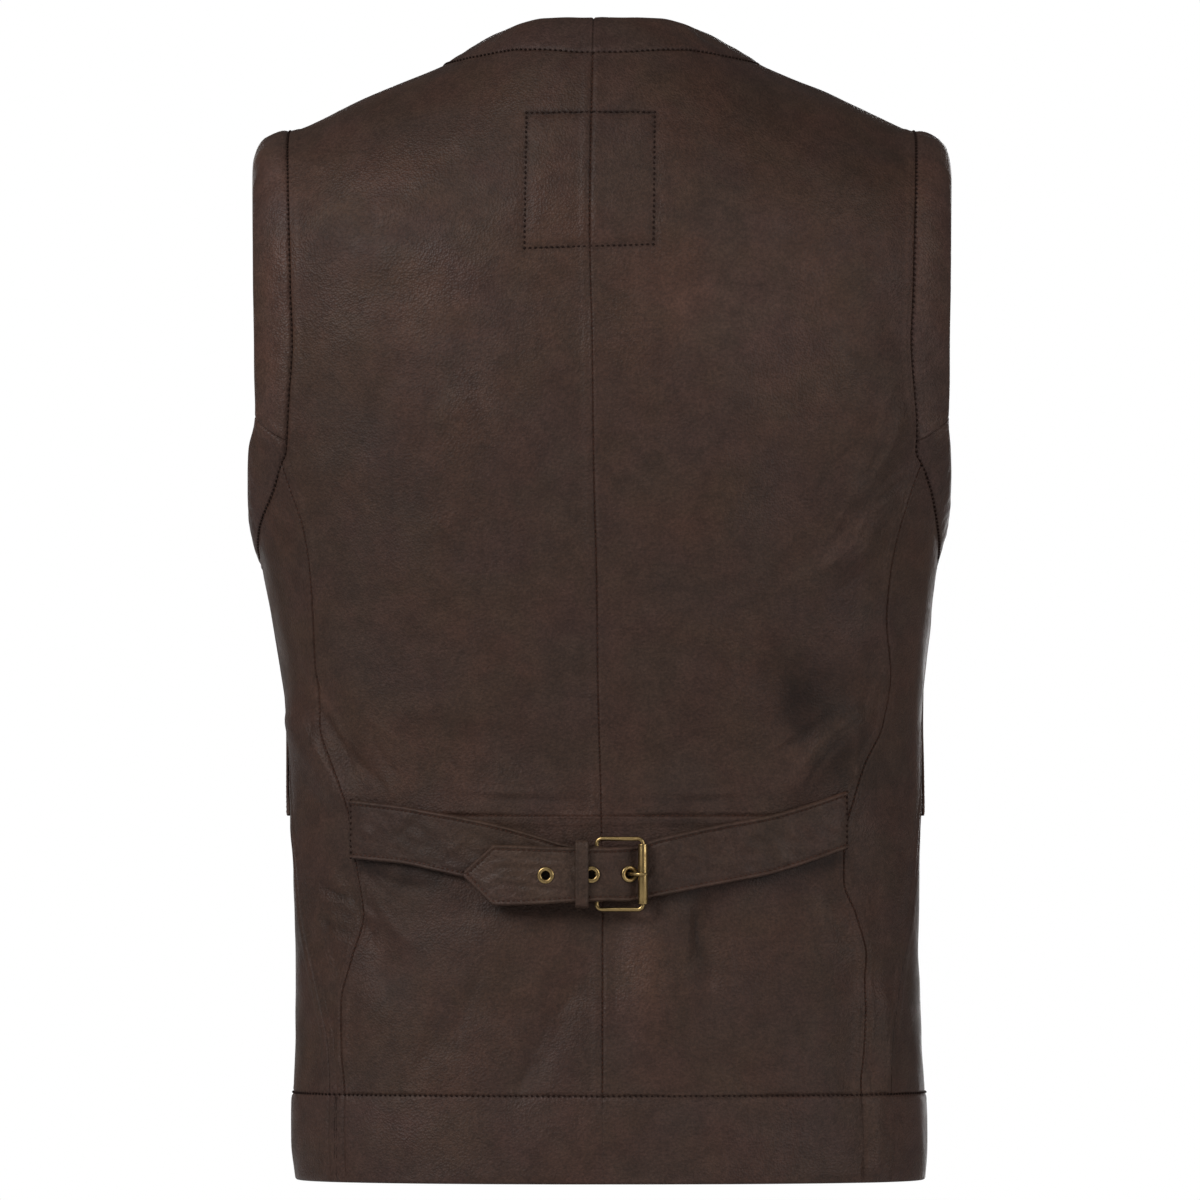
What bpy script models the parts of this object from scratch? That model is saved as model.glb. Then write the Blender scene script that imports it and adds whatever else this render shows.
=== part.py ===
"""A collarless leather vest with a half-belt across the back, filled out as if worn.

The wearer faces -Y and the wearer's left is +X. The origin lies between the shoulders, at the height of the
middle of the shoulder line, where the vest is carried. Sizes are in millimetres and become metres when a
mesh is made.

The vest is one smooth form. A point on it has a turn, the angle round the body from the centre back (0)
over the side (90 degrees) to the centre front (180), and a rise, which is its height below the chest line
and goes on over the shoulder above it. Every panel is a patch of that form between its seams.
"""
import math

import bmesh
import bpy
import numpy as np

# Leather and seams
WALL = 2.6
BAND_WALL = 3.0
SEAM_GAP = 0.3
LIE_GAP = 0.3
STRAP_THICK = 2.2

# The form
SQUARENESS = 2.3
DEPTH_CENTRE = 8.0
CHEST_LINE = -110.0
RIDGE = 60.0
SHOULDER_SEAM = 14.0
HEM_SEAM = -571.0
HEM_EDGE = -621.5
WAIST_SEAM = -411.0

# Level rings of the body: height, centre (towards the wearer's left), half width, depths from DEPTH_CENTRE
RINGS = np.array([
    (-110, 1.1, 214.0, 108, 116),
    (-160, 1.1, 213.0, 112, 127),
    (-212, 1.4, 206.5, 113, 135),
    (-235, 1.7, 201.0, 112, 137),
    (-253, 1.9, 197.0, 111, 138),
    (-278, 0.9, 192.7, 109, 138),
    (-308, -0.3, 188.2, 106, 137),
    (-336, -1.0, 184.4, 103.5, 135),
    (-369, -1.8, 181.7, 101, 132),
    (-405, -2.0, 181.2, 99, 129),
    (-459, -2.8, 180.4, 99, 129),
    (-487, -2.9, 179.4, 100, 130),
    (-540, -4.0, 180.2, 103, 132),
    (-579, -4.3, 182.0, 105, 133),
    (-598, -4.5, 182.4, 106, 133),
    (-625, -4.9, 180.8, 106, 133)])

# Shoulder line seen from behind: distance from the middle, height
SHOULDER_LINE = np.array([
    (0, 62), (17, 61), (33, 57.5), (46, 50.5), (60, 39.5), (76, 29), (91, 20.5),
    (133, 2.5), (160, -10), (176, -17), (185, -19.5), (192, -23), (198, -30), (201.5, -41), (208, -62),
    (216, -80)])

# Centre-back seam: height, place across
CENTRE_BACK = np.array([
    (60, 4.0), (-8, 5.1), (-88, 6.9), (-128, 5.7), (-215, 4.6), (-280, 2.9), (-335, 2.3), (-362, 1.7),
    (-400, 0.6), (-465, -0.3), (-625, -0.3)])

# Princess seams seen from behind: height, distance from the middle on the left and on the right
PRINCESS = np.array([
    (-210, 183.5, 183.5), (-229, 177, 176), (-245, 171.5, 171), (-271, 167.3, 165.5), (-300, 165.3, 163),
    (-330, 164, 165.5), (-360, 162, 160.5), (-382, 154.2, 150.5), (-401, 146.7, 144.5), (-425, 143, 138.5),
    (-449, 139.9, 138.5), (-468, 137.8, 145.5), (-493, 143.3, 151.5), (-519, 149, 151.5), (-545, 149, 150.5),
    (-571, 147.3, 148.5), (-625, 149, 150)])

# Side seams: height, turn in degrees; they swing to the back below the waist
SIDE_SEAM = np.array([
    (-270, 94.4), (-310, 94), (-345, 92.5), (-371, 90), (-405, 85.5), (-440, 80), (-473, 75.4), (-507, 67.8),
    (-545, 61.5), (-571, 60), (-625, 60.5)])

# Armhole stations from the shoulder seam down the back, under the arm and up the front. Each row holds the
# seam and the free edge of the band as (kind, place, rise): kind "x" is a distance from the middle, on the
# back before station FRONT_FROM and on the front after it; kind "y" is a place front to back.
ARMHOLE = [
    (("x", 179.0, RIDGE + SHOULDER_SEAM), ("x", 201.3, RIDGE + SHOULDER_SEAM)),
    (("x", 180.5, RIDGE - 35), ("x", 201.3, RIDGE - 35)),
    (("x", 180.0, RIDGE - 95), ("x", 201.0, RIDGE - 95)),
    (("x", 178.3, CHEST_LINE), ("x", 200.6, CHEST_LINE)),
    (("x", 177.5, -150), ("x", 200.0, -148)),
    (("x", 180.3, -197), ("x", 199.4, -182)),
    (("x", 183.5, -210), ("y", 44, -200)),
    (("x", 189.5, -228), ("y", 34, -218)),
    (("y", 38, -245), ("y", 20, -231)),
    (("y", 14, -260), ("y", 3, -239)),
    (("y", -14, -270), ("y", -17, -243)),
    (("y", -44, -268), ("y", -37, -238)),
    (("y", -68, -248), ("y", -52, -220)),
    (("y", -82, -212), ("y", -60, -190)),
    (("y", -84, -165), ("y", -60, -150)),
    (("y", -79, CHEST_LINE), ("y", -54, CHEST_LINE)),
    (("x", 171.5, RIDGE - 95), ("x", 196.0, RIDGE - 95)),
    (("x", 177.5, RIDGE - 45), ("x", 201.0, RIDGE - 45)),
    (("x", 179.0, RIDGE - SHOULDER_SEAM), ("x", 201.3, RIDGE - SHOULDER_SEAM))]
FRONT_FROM = 15
BAND_JOINT = 5
PRINCESS_TOP = 6
SIDE_SEAM_TOP = 10
STEPS_PER_STATION = 2

# Neck seam and free edge of the neck band seen from above, from the centre back to the shoulder seam:
# distance from the middle and place front to back
NECK_SEAM = [(0.0, 71.0), (21.0, 69.0), (41.0, 62.0), (59.0, 47.0), (75.0, 31.0), (87.0, 12.0), (92.0, None)]
NECK_EDGE = [(0.0, 47.0), (15.0, 46.0), (30.0, 42.0), (43.0, 34.5), (53.5, 24.0), (60.5, 8.0), (63.5, None)]

# V neck from the shoulder seam down, one row for each armhole station of the front: height, distance of the
# seam and of the free edge from the middle; a free edge below nought has crossed the centre front
V_NECK = [
    (None, 92.0, 63.5), (-12, 84, 56), (-52, 73, 45), (-98, 60, 32), (-143, 47, 18.5), (-183, 35.5, 7.5),
    (-220, 26, -2.5), (-250, 18.5, -9.5), (-276, 14.5, -13.5)]
LAP = 5.4
LAP_FULL = 22.0
LAP_END = 62.0

SHOULDER_COLUMNS = 8
WAIST_ROWS = 7
HEM_ROWS = 2

# Largest folds: two ends (across, height), half width and height of a soft ridge, or of a trough if below 0
FOLDS_BACK = np.array([
    (-170, -184, -150, -226, 9, 2.4),
    (-163, -232, -139, -262, 9, 3.0),
    (-153, -256, -122, -277, 9, 2.4),
    (-176, -206, -146, -246, 8, -1.8),
    (178, -358, 152, -398, 9, 3.4),
    (160, -340, 144, -382, 9, -2.6),
    (-147, -357, -112, -391, 9, 3.2),
    (-100, -330, -104, -368, 14, -3.0),
    (-56, -462, -60, -505, 8, -2.6),
    (-38, -462, -30, -520, 17, 2.4),
    (18, -514, 47, -566, 9, -2.0),
    (-160, -520, -158, -612, 8, 2.6),
    (-146, -505, -143, -560, 9, -2.2),
    (150, -450, 118, -500, 12, -2.4),
    (90, -380, -90, -380, 22, -2.4),
    (60, -480, 120, -520, 22, 2.2),
    (100, -200, 90, -330, 30, 2.0),
    (-70, -180, -60, -320, 34, 2.0)])
FOLDS_FRONT = np.array([
    (165, -235, 120, -275, 10, 2.6),
    (-165, -238, -126, -270, 10, 2.8),
    (150, -262, 104, -300, 12, -2.4),
    (-150, -268, -100, -296, 11, -2.2),
    (60, -380, 150, -402, 14, -2.8),
    (-56, -392, -148, -386, 13, -2.6),
    (110, -440, 96, -540, 14, 2.8),
    (-118, -446, -92, -548, 15, 2.6),
    (66, -470, 60, -560, 12, -2.2),
    (-60, -480, -70, -562, 12, -2.2)])

# Half-belt: distance across (wearer's left is positive), height of its middle, half height, and how far its
# middle stands off the back
BELT_LEFT = np.array([
    (144.5, -418.8, 17.0, 1.7), (130, -420.4, 16.8, 2.4), (113.6, -422.2, 16.6, 3.2), (98, -425.2, 16.8, 4.0),
    (81.7, -428.4, 17.2, 4.8), (64, -432.0, 17.2, 5.9), (46, -436.4, 17.0, 7.1), (32, -440.2, 16.6, 8.2),
    (22, -442.8, 16.2, 8.8), (12, -444.2, 16.0, 9.0)])
BELT_RIGHT = np.array([
    (79.4, -444.3, 1.2, 8.8), (70.5, -444.5, 9.6, 9.5), (61.8, -444.8, 17.4, 10.2), (48, -444.9, 17.2, 11.1),
    (34, -444.9, 16.6, 11.9), (22, -444.7, 16.0, 12.4), (10, -444.5, 15.6, 12.5), (3, -444.4, 15.4, 12.2),
    (-4, -444.3, 15.4, 10.9), (-10, -444.3, 15.6, 8.8), (-15.4, -444.2, 15.8, 6.9), (-20, -443.6, 15.8, 5.2),
    (-26.3, -441.8, 16.2, 4.5), (-36, -439.6, 16.8, 4.3), (-57, -435.2, 17.1, 4.4), (-76, -431.6, 17.2, 4.0),
    (-94, -428.2, 17.1, 3.5), (-110, -423.8, 16.9, 2.9), (-123, -419.6, 16.8, 2.3),
    (-141.5, -413.0, 16.6, 1.7)])
EYELET_PLACES = (32.0, 6.0, -15.4)
EYELET_HOLE = 2.7
EYELET_BARREL = 3.3
EYELET_FLANGE = 4.8
EYELET_PLATE = 0.6
STRAP_HOLE = 3.6
# Past the heel bar the left strap is turned back under itself and sewn down; the prong comes out at a slot
TURNED_BACK = (8.0, 15.0, 24.0)
TURNED_BACK_SLOPE = 0.03
SLOT_PLACE = 1.5
SLOT_HALVES = (6.0, 8.0, 1.8)

BUCKLE_HEIGHT = -444.2
HEEL_PLACE = (2.9, 6.4)
ROLLER_PLACE = (-23.4, 10.8)
WIRE = 1.2
FRAME_HALF_HEIGHT = 20.2
FRAME_CORNER = 3.0
ROLLER_RADIUS = 2.7
ROLLER_HALF = 17.2
CORNER_ANGLES = (0, 30, 60, 90)
PRONG_WIRE = 1.05
PRONG_WRAP = (150, 115, 80, 45, 10, -25, -60, -85)
PRONG_PATH = ((-4, 4.2), (-9.5, 3.8), (-13.4, 4.5), (-15.2, 6.5), (-16.1, 9.4), (-18.2, 12.4), (-20.8, 14.3),
              (-23.4, 15.0), (-25.6, 14.9))
KEEPER_PLACE = (7.6, 15.2)
KEEPER_THICK = 1.5
KEEPER_HALF_HEIGHT = 19.4
KEEPER_CORNER = 1.6

# Fronts: studs and welts
STUD_HEIGHTS = (-292, -360, -428, -496, -564)
STUD_PROFILE = ((0, 0), (6.5, 0), (6.5, 0.6), (5.2, 1.68), (2.925, 2.4), (0, 2.4))
STUD_LIFT = 1.3
WELT_ENDS = ((110.5, -292), (94.0, -412))
WELT_WIDTH = 24.0
WELT_THICK = 2.2
WELT_LIFT = 1.2
WELT_ROWS = 6

# Colours of the leather and of the brass, as linear values
LEATHER = (0.052, 0.033, 0.027, 1.0)
BELT_LEATHER = (0.043, 0.030, 0.021, 1.0)
BRASS = (0.36, 0.25, 0.12, 1.0)


def flow(knots, values, at):
    """Smooth monotone curve through a table's column, read at any place."""
    order = np.argsort(knots)
    knots = np.asarray(knots, float)[order]
    values = np.asarray(values, float)[order]
    at = np.clip(np.asarray(at, float), knots[0], knots[-1])
    width = np.diff(knots)
    slope = np.diff(values) / width
    tangent = np.zeros(len(knots))
    same = slope[:-1] * slope[1:] > 0
    total = np.where(same, slope[:-1] + slope[1:], 1.0)
    tangent[1:-1] = np.where(same, 2 * slope[:-1] * slope[1:] / total, 0.0)
    tangent[0], tangent[-1] = slope[0], slope[-1]
    k = np.clip(np.searchsorted(knots, at, side="right") - 1, 0, len(width) - 1)
    u = (at - knots[k]) / width[k]
    return ((2 * u**3 - 3 * u**2 + 1) * values[k] + (u**3 - 2 * u**2 + u) * width[k] * tangent[k]
            + (3 * u**2 - 2 * u**3) * values[k + 1] + (u**3 - u**2) * width[k] * tangent[k + 1])


def through(points, steps):
    """Rounded path through points, with so many steps from each one to the next."""
    points = np.asarray(points, float)
    before = np.vstack([2 * points[0] - points[1], points])
    after = np.vstack([points, 2 * points[-1] - points[-2]])
    tangent = (after[1:] - before[:-1]) / 2
    path = []
    for k in range(len(points) - 1):
        for step in range(steps):
            u = step / steps
            path.append((2 * u**3 - 3 * u**2 + 1) * points[k] + (u**3 - 2 * u**2 + u) * tangent[k]
                        + (3 * u**2 - 2 * u**3) * points[k + 1] + (u**3 - u**2) * tangent[k + 1])
    path.append(points[-1])
    return np.array(path)


def soft_step(low, high, at):
    u = np.clip((np.asarray(at, float) - low) / (high - low), 0, 1)
    return u * u * (3 - 2 * u)


def signed_power(value, power):
    return np.sign(value) * np.abs(value)**power


def ring(height):
    """Centre, half width, back depth and front depth of the level ring at a height."""
    return [flow(RINGS[:, 0], RINGS[:, column], height) for column in range(1, 5)]


def ridge_height(across):
    return flow(SHOULDER_LINE[:, 0], SHOULDER_LINE[:, 1], np.abs(across))


def form(side, turn, rise):
    """Points of the smooth form; side is 1 on the wearer's left and -1 on the right."""
    turn, rise = np.broadcast_arrays(np.asarray(turn, float), np.asarray(rise, float))
    over = rise > RIDGE
    turn = np.where(over, math.pi - turn, turn)
    rise = np.where(over, 2 * RIDGE - rise, rise)
    height = np.minimum(rise, CHEST_LINE)
    centre, half, back, front = ring(height)
    x = centre + side * half * signed_power(np.sin(turn), 2 / SQUARENESS)
    c = signed_power(np.cos(turn), 2 / SQUARENESS)
    y = DEPTH_CENTRE + np.where(c > 0, back, front) * c
    lift = np.clip((rise - CHEST_LINE) / (RIDGE - CHEST_LINE), 0, 1) * math.pi / 2
    z = height + (ridge_height(x) - CHEST_LINE) * np.sin(lift)
    return np.stack([x, y * np.cos(lift), z], -1)


def outward(side, turn, rise):
    """Unit normals of the smooth form."""
    step = 0.004
    along_turn = form(side, turn + step, rise) - form(side, turn - step, rise)
    along_rise = form(side, turn, rise + 0.5) - form(side, turn, rise - 0.5)
    normal = -side * np.cross(along_turn, along_rise)
    return normal / np.linalg.norm(normal, axis=-1, keepdims=True)


def fold_height(points, table):
    """Height of the soft folds in a table at points seen from the front or the back."""
    place = points[..., (0, 2)]
    height = np.zeros(place.shape[:-1])
    for x0, z0, x1, z1, width, crest in table:
        start = np.array((x0, z0))
        run = np.array((x1, z1)) - start
        u = np.clip((place - start) @ run / (run @ run), 0, 1)
        off = place - start - u[..., None] * run
        height += crest * np.exp(-np.sum(off**2, -1) / (width * width))
    return height


def skin(side, turn, rise, lap=0.0):
    """Points and normals of the leather's outer face, with its folds and the lap of the left front."""
    turn, rise = np.broadcast_arrays(np.asarray(turn, float), np.asarray(rise, float))
    points = form(side, turn, rise)
    normals = outward(side, turn, rise)
    behind = soft_step(-0.15, 0.15, np.cos(turn))
    below = 1 - soft_step(CHEST_LINE, RIDGE - 40, rise)
    lift = below * (behind * fold_height(points, FOLDS_BACK) + (1 - behind) * fold_height(points, FOLDS_FRONT))
    lift = lift + lap * (1 - soft_step(LAP_FULL, LAP_END, np.abs(points[..., 0]))) * (np.cos(turn) < 0)
    return points + normals * lift[..., None], normals


def turn_at_x(side, x, height, front=False):
    """Turn of the point that lies at x on the back, or on the front, at a height."""
    centre, half, _, _ = ring(np.minimum(height, CHEST_LINE))
    share = np.clip(side * (x - centre) / half, -1, 1)
    angle = np.arcsin(signed_power(share, SQUARENESS / 2))
    return math.pi - angle if front else angle


def turn_at_y(y, height):
    """Turn of the point on the side that lies at y, front to back, at a height."""
    _, _, back, front = ring(np.minimum(height, CHEST_LINE))
    share = (y - DEPTH_CENTRE) / np.where(y > DEPTH_CENTRE, back, front)
    return np.arccos(signed_power(share, SQUARENESS / 2))


def rise_at(x, height):
    """Rise of the point at x and a height above the chest line."""
    if height <= CHEST_LINE:
        return height
    share = (height - CHEST_LINE) / (ridge_height(x) - CHEST_LINE)
    return CHEST_LINE + math.asin(min(share, 1.0)) / (math.pi / 2) * (RIDGE - CHEST_LINE)


def armhole_place(side, station, which):
    """Turn and rise of the armhole's seam (0) or free edge (1) at a station."""
    kind, place, rise = ARMHOLE[station][which]
    if kind == "y":
        return float(turn_at_y(place, rise)), rise
    return float(turn_at_x(side, side * place, rise, front=station >= FRONT_FROM)), rise


def armhole_path(side, first, last, which):
    """Seam (0) or free edge (1) between two stations, back to front."""
    stations = range(len(ARMHOLE))
    path = through([armhole_place(side, station, which) for station in stations], STEPS_PER_STATION)
    return path[first * STEPS_PER_STATION:last * STEPS_PER_STATION + 1]


def centre_back_turn(side, rise):
    """Turn of the centre-back seam; it lies a little off the middle."""
    x = flow(CENTRE_BACK[:, 0], CENTRE_BACK[:, 1], rise)
    return turn_at_x(side, x, rise)


def princess_path(side, low, high, rows):
    """Princess seam from one height up to another."""
    heights = np.linspace(low, high, rows + 1)
    column = 1 if side > 0 else 2
    across = flow(PRINCESS[:, 0], PRINCESS[:, column], heights)
    return np.stack([turn_at_x(side, side * across, heights), heights], -1)


def side_seam_path(low, high, rows):
    heights = np.linspace(low, high, rows + 1)
    return np.stack([np.radians(flow(SIDE_SEAM[:, 0], SIDE_SEAM[:, 1], heights)), heights], -1)


def neck_back_path(side, which):
    """Neck seam (0) or free edge (1) of the back, from the centre back over to the shoulder seam."""
    path = []
    for across, depth in (NECK_SEAM, NECK_EDGE)[which]:
        turn = float(turn_at_x(side, side * across, RIDGE))
        if depth is None:
            path.append((turn, RIDGE + SHOULDER_SEAM))
            continue
        lift = math.acos(depth / form(side, turn, CHEST_LINE)[1])
        rise = CHEST_LINE + lift / (math.pi / 2) * (RIDGE - CHEST_LINE)
        path.append((float(centre_back_turn(side, rise)) if across == 0 else turn, rise))
    return np.array(path)


def shoulder_seam_path(side):
    """Shoulder seam from the neck point out to the armhole, just in front of the ridge."""
    across = np.linspace(NECK_SEAM[-1][0], ARMHOLE[0][0][1], SHOULDER_COLUMNS + 1)
    turns = turn_at_x(side, side * across, np.full(len(across), RIDGE))
    return np.stack([turns, np.full(len(across), RIDGE + SHOULDER_SEAM)], -1)


def to_front(path):
    """The same places over the shoulder, told from the front."""
    return np.stack([math.pi - path[:, 0], 2 * RIDGE - path[:, 1]], -1)


def v_neck_path(side, which):
    """Seam (0) or free edge (1) of the V neck, from its foot up to the shoulder seam."""
    stations = []
    for height, seam, edge in V_NECK:
        across = edge if which else seam
        rise = RIDGE - SHOULDER_SEAM if height is None else rise_at(abs(across), height)
        stations.append((float(turn_at_x(side, side * across, rise, front=True)), rise))
    return through(stations, STEPS_PER_STATION)[::-1]


def front_edge_path(side, low, rows, which):
    """Seam (0) or free edge (1) of the front band, straight up the centre front."""
    heights = np.linspace(low, V_NECK[-1][0], rows + 1)
    across = np.full(len(heights), side * V_NECK[-1][1 + which])
    return np.stack([turn_at_x(side, across, heights, front=True), heights], -1)


def patch(low, high, left, right):
    """Grid between four paths: low and high run across, left and right run up."""
    u = np.linspace(0, 1, len(low))[None, :, None]
    v = np.linspace(0, 1, len(left))[:, None, None]
    bow_low = low[None] - low[0] * (1 - u) - low[-1] * u
    bow_high = high[None] - high[0] * (1 - u) - high[-1] * u
    return left[:, None] * (1 - u) + right[:, None] * u + bow_low * (1 - v)**2 + bow_high * v**2


def across_band(seam, edge, shares):
    """Grid of a band: one row for each station, one column for each share of its width."""
    shares = np.asarray(shares)[None, :, None]
    return seam[:, None] * (1 - shares) + edge[:, None] * shares


def material(name, colour, roughness, metallic):
    made = bpy.data.materials.new(name)
    made.use_nodes = True
    shader = made.node_tree.nodes["Principled BSDF"]
    shader.inputs["Base Color"].default_value = colour
    shader.inputs["Roughness"].default_value = roughness
    shader.inputs["Metallic"].default_value = metallic
    return made


def make_object(name, vertices, faces, look):
    """Mesh object from points in millimetres, shaded smooth with its edges kept."""
    mesh = bpy.data.meshes.new(name)
    mesh.from_pydata([tuple(point * 0.001 for point in vertex) for vertex in vertices], [], faces)
    shape = bmesh.new()
    shape.from_mesh(mesh)
    bmesh.ops.recalc_face_normals(shape, faces=shape.faces)
    shape.to_mesh(mesh)
    shape.free()
    mesh.shade_smooth()
    mesh.set_sharp_from_angle(angle=math.radians(40))
    mesh.materials.append(look)
    made = bpy.data.objects.new(name, mesh)
    bpy.context.scene.collection.objects.link(made)
    return made


def edge_trim(points, normals):
    """Moves a grid's edges inwards by half a seam gap, so that neighbours stand a seam gap apart."""
    moved = points.copy()
    borders = (((0, slice(None)), (1, slice(None))), ((-1, slice(None)), (-2, slice(None))),
               ((slice(None), 0), (slice(None), 1)), ((slice(None), -1), (slice(None), -2)))
    for border, inner in borders:
        along = np.gradient(points[border], axis=0)
        inwards = np.cross(normals[border], along)
        inwards /= np.linalg.norm(inwards, axis=-1, keepdims=True)
        facing = np.sum(inwards * (points[inner] - points[border]), -1)
        moved[border] += inwards * np.sign(facing)[:, None] * SEAM_GAP / 2
    return moved


def rim_faces(outer, inner, vertices):
    """Triangles of one strip of rim; the diagonal is chosen by place, so neighbours choose alike."""
    key = np.array((0.37, 0.21, 1.0))
    faces = []
    for k in range(len(outer) - 1):
        first, second = vertices[outer[k]] @ key, vertices[outer[k + 1]] @ key
        a, b, c, d = outer[k], outer[k + 1], inner[k + 1], inner[k]
        if first < second:
            faces += [(a, b, c), (a, c, d)]
        else:
            faces += [(a, b, d), (b, c, d)]
    return faces


def wall(name, points, normals, look, outer=0.0, inner=WALL):
    """Closed wall of leather on a grid of points, from outer above them to inner below them."""
    rows, columns = points.shape[:2]
    points = edge_trim(points, normals)
    outer = np.broadcast_to(outer, (rows, columns))[..., None]
    inner = np.broadcast_to(inner, (rows, columns))[..., None]
    vertices = np.concatenate([(points + normals * outer).reshape(-1, 3),
                               (points - normals * inner).reshape(-1, 3)])
    index = np.arange(rows * columns).reshape(rows, columns)
    below = index + rows * columns
    faces = []
    for i in range(rows - 1):
        for j in range(columns - 1):
            a, b, c, d = index[i, j], index[i, j + 1], index[i + 1, j + 1], index[i + 1, j]
            faces.append((a, b, c, d))
            faces.append(tuple(v + rows * columns for v in (d, c, b, a)))
    for border in (index[0], index[-1], index[:, 0], index[:, -1]):
        faces += rim_faces(border, below.reshape(-1)[border], vertices)
    return make_object(name, vertices, [tuple(int(v) for v in face) for face in faces], look)


def panel(name, side, grid, look, outer=0.0, inner=WALL, lap=0.0):
    """Wall on a grid of turns and rises."""
    points, normals = skin(side, grid[..., 0], grid[..., 1], lap)
    return wall(name, points, normals, look, outer, inner)


def tube(name, path, radius, look, sides=8, closed=False):
    """Round wire along a path."""
    path = np.asarray(path, float)
    if closed:
        tangents = np.roll(path, -1, 0) - np.roll(path, 1, 0)
    else:
        tangents = np.gradient(path, axis=0)
    tangents /= np.linalg.norm(tangents, axis=-1, keepdims=True)
    across = np.cross(tangents, (0.013, 0.017, 1.0) if not closed else (0.0, 1.0, 0.001))
    across /= np.linalg.norm(across, axis=-1, keepdims=True)
    second = np.cross(tangents, across)
    angles = np.arange(sides) / sides * 2 * math.pi
    rings = (path[:, None] + radius * (across[:, None] * np.cos(angles)[None, :, None]
                                       + second[:, None] * np.sin(angles)[None, :, None]))
    count = len(path)
    faces = []
    for i in range(count if closed else count - 1):
        for j in range(sides):
            a, b = i * sides + j, i * sides + (j + 1) % sides
            c, d = ((i + 1) % count) * sides + (j + 1) % sides, ((i + 1) % count) * sides + j
            faces.append((a, b, c, d))
    if not closed:
        faces.append(tuple(range(sides)))
        faces.append(tuple((count - 1) * sides + j for j in reversed(range(sides))))
    return make_object(name, rings.reshape(-1, 3), faces, look)


def lathe(name, profile, centre, axis, look, segments=16):
    """Turned piece: profile rows are (radius, height along the axis) and make a closed outline."""
    axis = np.asarray(axis, float) / np.linalg.norm(axis)
    first = np.cross(axis, (0.0, 0.0, 1.0))
    first /= np.linalg.norm(first)
    second = np.cross(axis, first)
    vertices, faces = [], []
    rings = []
    for radius, height in profile:
        if radius == 0:
            rings.append([len(vertices)] * segments)
            vertices.append(centre + axis * height)
            continue
        rings.append(list(range(len(vertices), len(vertices) + segments)))
        for k in range(segments):
            angle = 2 * math.pi * k / segments
            vertices.append(centre + radius * (first * math.cos(angle) + second * math.sin(angle))
                            + axis * height)
    pairs = list(zip(rings, rings[1:]))
    if profile[0][0] > 0:
        pairs.append((rings[-1], rings[0]))
    for low, high in pairs:
        for k in range(segments):
            n = (k + 1) % segments
            face = (low[k], low[n], high[n], high[k])
            face = tuple(v for i, v in enumerate(face) if v not in face[:i])
            if len(face) > 2:
                faces.append(face)
    return make_object(name, vertices, faces, look)


def back_face(x, height, reach=0.0):
    """Outer face of the back at x, as far back as it comes within a reach above and below a height."""
    side = 1 if x >= 0 else -1
    heights = height + reach * np.linspace(-1, 1, 7)
    points, _ = skin(side, turn_at_x(side, np.full(7, x), heights), heights)
    return float(points[:, 1].max())


def belt_place(table, x):
    """Point on the middle of a belt strap, and its half height."""
    height, half, stand_off = (float(flow(table[:, 0], table[:, c], x)) for c in (1, 2, 3))
    return np.array((x, back_face(x, height, half) + stand_off, height)), half


def ribbon(name, places, halves, thickness, look):
    """Flat strap along a path seen from above, standing upright."""
    places = np.asarray(places, float)
    tangents = np.gradient(places[:, :2], axis=0)
    tangents /= np.linalg.norm(tangents, axis=-1, keepdims=True)
    across = np.stack([-tangents[:, 1], tangents[:, 0], np.zeros(len(places))], -1)
    up = np.array((0.0, 0.0, 1.0))
    rows = []
    for place, normal, half in zip(places, across, halves):
        rows.append([place + normal * thickness / 2 + up * half, place + normal * thickness / 2 - up * half,
                     place - normal * thickness / 2 - up * half, place - normal * thickness / 2 + up * half])
    faces = []
    for i in range(len(rows) - 1):
        for j in range(4):
            faces.append((4 * i + j, 4 * i + (j + 1) % 4, 4 * i + 4 + (j + 1) % 4, 4 * i + 4 + j))
    last = 4 * (len(rows) - 1)
    faces += [(3, 2, 1, 0), (last, last + 1, last + 2, last + 3)]
    return make_object(name, [vertex for row in rows for vertex in row], faces, look)


def cut(made, cutter):
    """Takes a cutter's shape out of a piece."""
    cutter.hide_render = True
    cutter.display_type = "WIRE"
    step = made.modifiers.new("cut", "BOOLEAN")
    step.operation = "DIFFERENCE"
    step.solver = "EXACT"
    step.object = cutter


def buckle_point(place, height=BUCKLE_HEIGHT):
    """Point of the buckle from its distance across and its stand-off from the back at the heel bar."""
    across, stand_off = place
    return np.array((across, back_face(HEEL_PLACE[0], BUCKLE_HEIGHT, FRAME_HALF_HEIGHT) + stand_off, height))


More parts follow.
